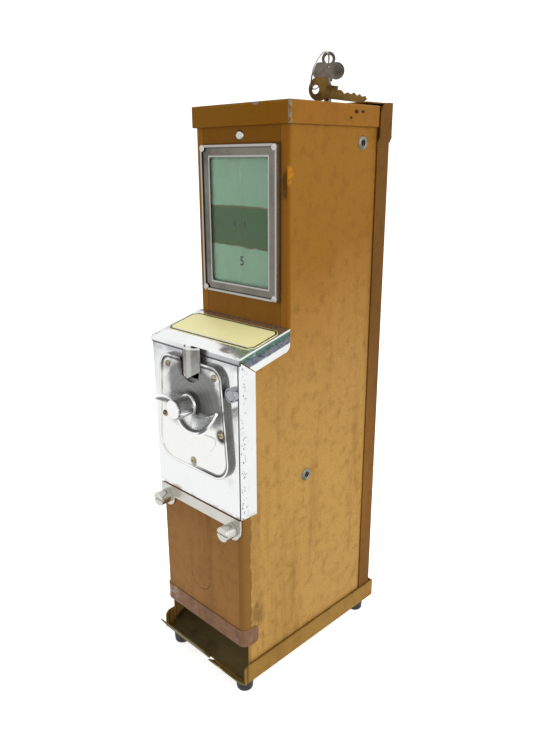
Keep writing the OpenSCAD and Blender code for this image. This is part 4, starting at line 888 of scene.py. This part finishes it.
class STAMP_OT_handle(Step):
    """Turning handle"""

    bl_idname = "stamp.handle"
    bl_label = "Handle"

    def build(self, scene):
        chrome = bright_plate("handle_chrome", scene.stamp_metal.chrome, 0.20, 0.8, pits=0.5,
                              marks=handle_marks)
        self.hub(chrome)
        # rear rim and front edge of each wing: hub end, two pulls and tip
        self.wing("wing_right", chrome, 0.0026,
                  (at(5, -8, 261), at(13, -8, 254.5), at(30, -9, 261), at(44.5, -13.0, 270.5)),
                  (at(2, -24, 259), at(11, -25.5, 246), at(38, -25.5, 243), at(45, -14.8, 268.5)))
        self.wing("wing_left", chrome, -0.0028,
                  (at(-5, -8.5, 267), at(-16, -8, 271), at(-30, -8, 271), at(-44.5, -12.5, 262.5)),
                  (at(-3, -23, 268.5), at(-14, -24, 271), at(-32, -23.5, 269.5),
                   at(-44.5, -14.5, 261)))

    @staticmethod
    def hub(chrome):
        """Turned boss with a soft end and a flared seat against the face plate."""
        bm = bmesh.new()
        low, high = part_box("handle")
        for back, length, radius, radius_2 in ((low.y, high.y - low.y, 0.0085, 0.0085),
                                               (high.y - 0.0026, 0.0026, 0.0098, 0.0105)):
            spot = Matrix.Translation(Vector((AXIS.x, back + length / 2, AXIS.z)))
            bmesh.ops.create_cone(bm, cap_ends=True, segments=72, radius1=radius_2,
                                  radius2=radius, depth=length,
                                  matrix=spot @ Matrix.Rotation(math.pi / 2, 4, "X"))
        hub = keep(bm, "handle_hub", "handle", chrome, stands_for=("handle",))
        round_edges(hub, 0.0007, 3)

    @staticmethod
    def wing(name, chrome, hollow, rear, front):
        """Dished blade pulled between its rear rim and its front edge."""
        steps = 16
        bm = bmesh.new()
        sheet = bmesh.ops.create_grid(bm, x_segments=steps, y_segments=6, size=0.5)
        rim = geometry.interpolate_bezier(*rear, steps + 1)
        lip = geometry.interpolate_bezier(*front, steps + 1)
        for vert in sheet["verts"]:
            i = round((vert.co.x + 0.5) * steps)
            t = vert.co.y + 0.5
            dish = math.sin(math.pi * t) * math.sin(math.pi * (0.15 + 0.85 * i / steps))
            vert.co = rim[i].lerp(lip[i], t) - Vector((0, 0, hollow * dish))
        bmesh.ops.recalc_face_normals(bm, faces=bm.faces)
        bmesh.ops.solidify(bm, geom=bm.faces, thickness=0.0021)
        bmesh.ops.recalc_face_normals(bm, faces=bm.faces)
        wing = keep(bm, name, "handle", chrome, smooth_angle=180.0, stands_for=("handle",))
        round_edges(wing, 0.0007, 2, 50.0)
        smooth = wing.modifiers.new("smooth", "SUBSURF")
        smooth.levels = smooth.render_levels = 2


class STAMP_OT_keys(Step):
    """Key in the lock, ring and flat key"""

    bl_idname = "stamp.keys"
    bl_label = "Keys"

    def build(self, scene):
        nickel = worn_metal("key_nickel", srgb(112, 104, 94), srgb(58, 51, 45), 0.28)
        brass = worn_metal("key_brass", srgb(120, 94, 48), srgb(64, 46, 22), 0.34)
        wire = worn_metal("ring_wire", (0.55, 0.53, 0.50), (0.3, 0.28, 0.26), 0.2)
        eased("tubular_key", nickel, 0.0004)
        eased("flat_key", brass, 0.0003)
        coated(wire, "key_ring")


class STAMP_OT_works(Step):
    """Mechanism, magazine, guides, cash box and small fixings"""

    bl_idname = "stamp.works"
    bl_label = "Inner works"

    def build(self, scene):
        zinc = worn_metal("zinc_sheet", (0.56, 0.56, 0.54), (0.38, 0.38, 0.36), 0.34)
        brass = worn_metal("turned_brass", srgb(206, 172, 104), srgb(140, 108, 58), 0.26)
        iron = worn_metal("follower_iron", (0.10, 0.10, 0.105), (0.05, 0.05, 0.05), 0.5)
        eyelet = worn_metal("eyelet_nickel", srgb(140, 138, 124), srgb(84, 80, 66), 0.3, 2.0)
        tan = srgb(170, 138, 76)
        box = enamel("box_enamel", [(0.0, tan), (1.0, tan)], srgb(90, 66, 30),
                     srgb(110, 100, 80))
        coated(zinc, "striker", "strap_nuts", "foot_screws", "drive_shaft", "shaft_bracket",
               "ejector_slide", "magazine_shelf", "magazine", "folder_duct", "coin_guide",
               "lock_nut", "lock_cam", "cam_screw")
        coated(brass, "coin_wheel", "pinion")
        coated(iron, "follower")
        coated(box, "cash_box")
        eased("side_eyelets", eyelet, 0.0004)


class STAMP_OT_stage(Step):
    """Floor, soft lights and the camera"""

    bl_idname = "stamp.stage"
    bl_label = "Stage"

    def build(self, scene):
        s = scene.stamp_stage
        bm = bmesh.new()
        bmesh.ops.create_grid(bm, x_segments=1, y_segments=1, size=12.0)
        mesh = bpy.data.meshes.new("floor")
        bm.to_mesh(mesh)
        bm.free()
        floor = bpy.data.objects.new("floor", mesh)
        scene.collection.objects.link(floor)
        floor.data.materials.append(floor_sheet("floor_sheet", (0.92, 0.92, 0.92), 0.80))
        # the sheet glows for the camera alone, so it does not light the case from below
        floor.visible_diffuse = False
        floor.visible_glossy = False
        scene.view_settings.view_transform = "Standard"
        self.room(scene, s)
        self.lamp(scene, "key_light", (1.65, 0.15, 0.75), s.key, 1.2)
        for name, place, share in (("fill_light", (-0.25, -1.9, 0.45), 0.62),
                                   ("top_light", (0.0, 0.0, 2.1), 0.70)):
            self.lamp(scene, name, place, s.key * share, 1.0).visible_glossy = False
        self.camera(scene, s.lens)

    @staticmethod
    def room(scene, s):
        """White all round: one strength for the camera, for metal and for paint."""
        world = bpy.data.worlds.new("white_room")
        world.use_nodes = True
        tree = world.node_tree
        paint = tree.nodes["Background"]
        metal = tree.nodes.new("ShaderNodeBackground")
        backdrop = tree.nodes.new("ShaderNodeBackground")
        for shade, strength in ((paint, s.world), (metal, s.mirror), (backdrop, 1.25)):
            shade.inputs["Color"].default_value = (1.0, 1.0, 1.0, 1.0)
            shade.inputs["Strength"].default_value = strength
        ray = tree.nodes.new("ShaderNodeLightPath")
        last = paint
        for kind, shade in (("Is Glossy Ray", metal), ("Is Camera Ray", backdrop)):
            pick = tree.nodes.new("ShaderNodeMixShader")
            tree.links.new(ray.outputs[kind], pick.inputs[0])
            tree.links.new(last.outputs[0], pick.inputs[1])
            tree.links.new(shade.outputs[0], pick.inputs[2])
            last = pick
        tree.links.new(last.outputs[0], tree.nodes["World Output"].inputs["Surface"])
        scene.world = world

    @staticmethod
    def lamp(scene, name, place, power, size):
        light = bpy.data.lights.new(name, "AREA")
        light.energy = power
        light.size = size
        lamp = bpy.data.objects.new(name, light)
        lamp.location = place
        aim = Vector((0.0, 0.0, 0.28)) - Vector(place)
        lamp.rotation_euler = aim.to_track_quat("-Z", "Y").to_euler()
        scene.collection.objects.link(lamp)
        return lamp

    @staticmethod
    def camera(scene, lens):
        view = bpy.data.cameras.new("camera")
        view.lens = lens
        view.sensor_width = 36.0
        view.clip_start = 0.01
        camera = bpy.data.objects.new("camera", view)
        yaw, pitch, roll = map(math.radians, (135.0566, -17.7332, -0.2968))
        ahead = Vector((math.cos(pitch) * math.cos(yaw), math.cos(pitch) * math.sin(yaw),
                        math.sin(pitch)))
        right = Vector((math.sin(yaw), -math.cos(yaw), 0.0))
        up = right.cross(ahead)
        across = math.cos(roll) * right + math.sin(roll) * up
        above = -math.sin(roll) * right + math.cos(roll) * up
        turn = Matrix((across, above, -ahead)).transposed()
        camera.matrix_world = Matrix.Translation(at(436.082, -347.629, 468.694)) @ turn.to_4x4()
        scene.collection.objects.link(camera)
        scene.camera = camera


class STAMP_PT_panel(bpy.types.Panel):
    """Lists the building steps and their settings."""

    bl_label = "Stamp Machine"
    bl_idname = "STAMP_PT_panel"
    bl_space_type = "VIEW_3D"
    bl_region_type = "UI"
    bl_category = "Stamp Machine"

    def draw(self, context):
        for group in (context.scene.stamp_paint, context.scene.stamp_metal,
                      context.scene.stamp_stage):
            for key in group.__annotations__:
                self.layout.prop(group, key)
        for step in STEPS:
            self.layout.operator(step.bl_idname)


GROUPS = {"stamp_paint": PaintSettings, "stamp_metal": MetalSettings,
          "stamp_stage": StageSettings}
STEPS = (STAMP_OT_case, STAMP_OT_base, STAMP_OT_back, STAMP_OT_window, STAMP_OT_cover,
         STAMP_OT_plate, STAMP_OT_handle, STAMP_OT_keys, STAMP_OT_works, STAMP_OT_stage)


def register():
    for group in GROUPS.values():
        bpy.utils.register_class(group)
    for step in (*STEPS, STAMP_PT_panel):
        bpy.utils.register_class(step)
    for key, group in GROUPS.items():
        setattr(bpy.types.Scene, key, PointerProperty(type=group))


def unregister():
    for key in GROUPS:
        delattr(bpy.types.Scene, key)
    for made in (STAMP_PT_panel, *reversed(STEPS), *GROUPS.values()):
        bpy.utils.unregister_class(made)


def main():
    register()
    bpy.ops.stamp.case()
    bpy.ops.stamp.base()
    bpy.ops.stamp.back()
    bpy.ops.stamp.window()
    bpy.ops.stamp.cover()
    bpy.ops.stamp.plate()
    bpy.ops.stamp.handle()
    bpy.ops.stamp.keys()
    bpy.ops.stamp.works()
    bpy.ops.stamp.stage()


if __name__ == "__main__":
    main()
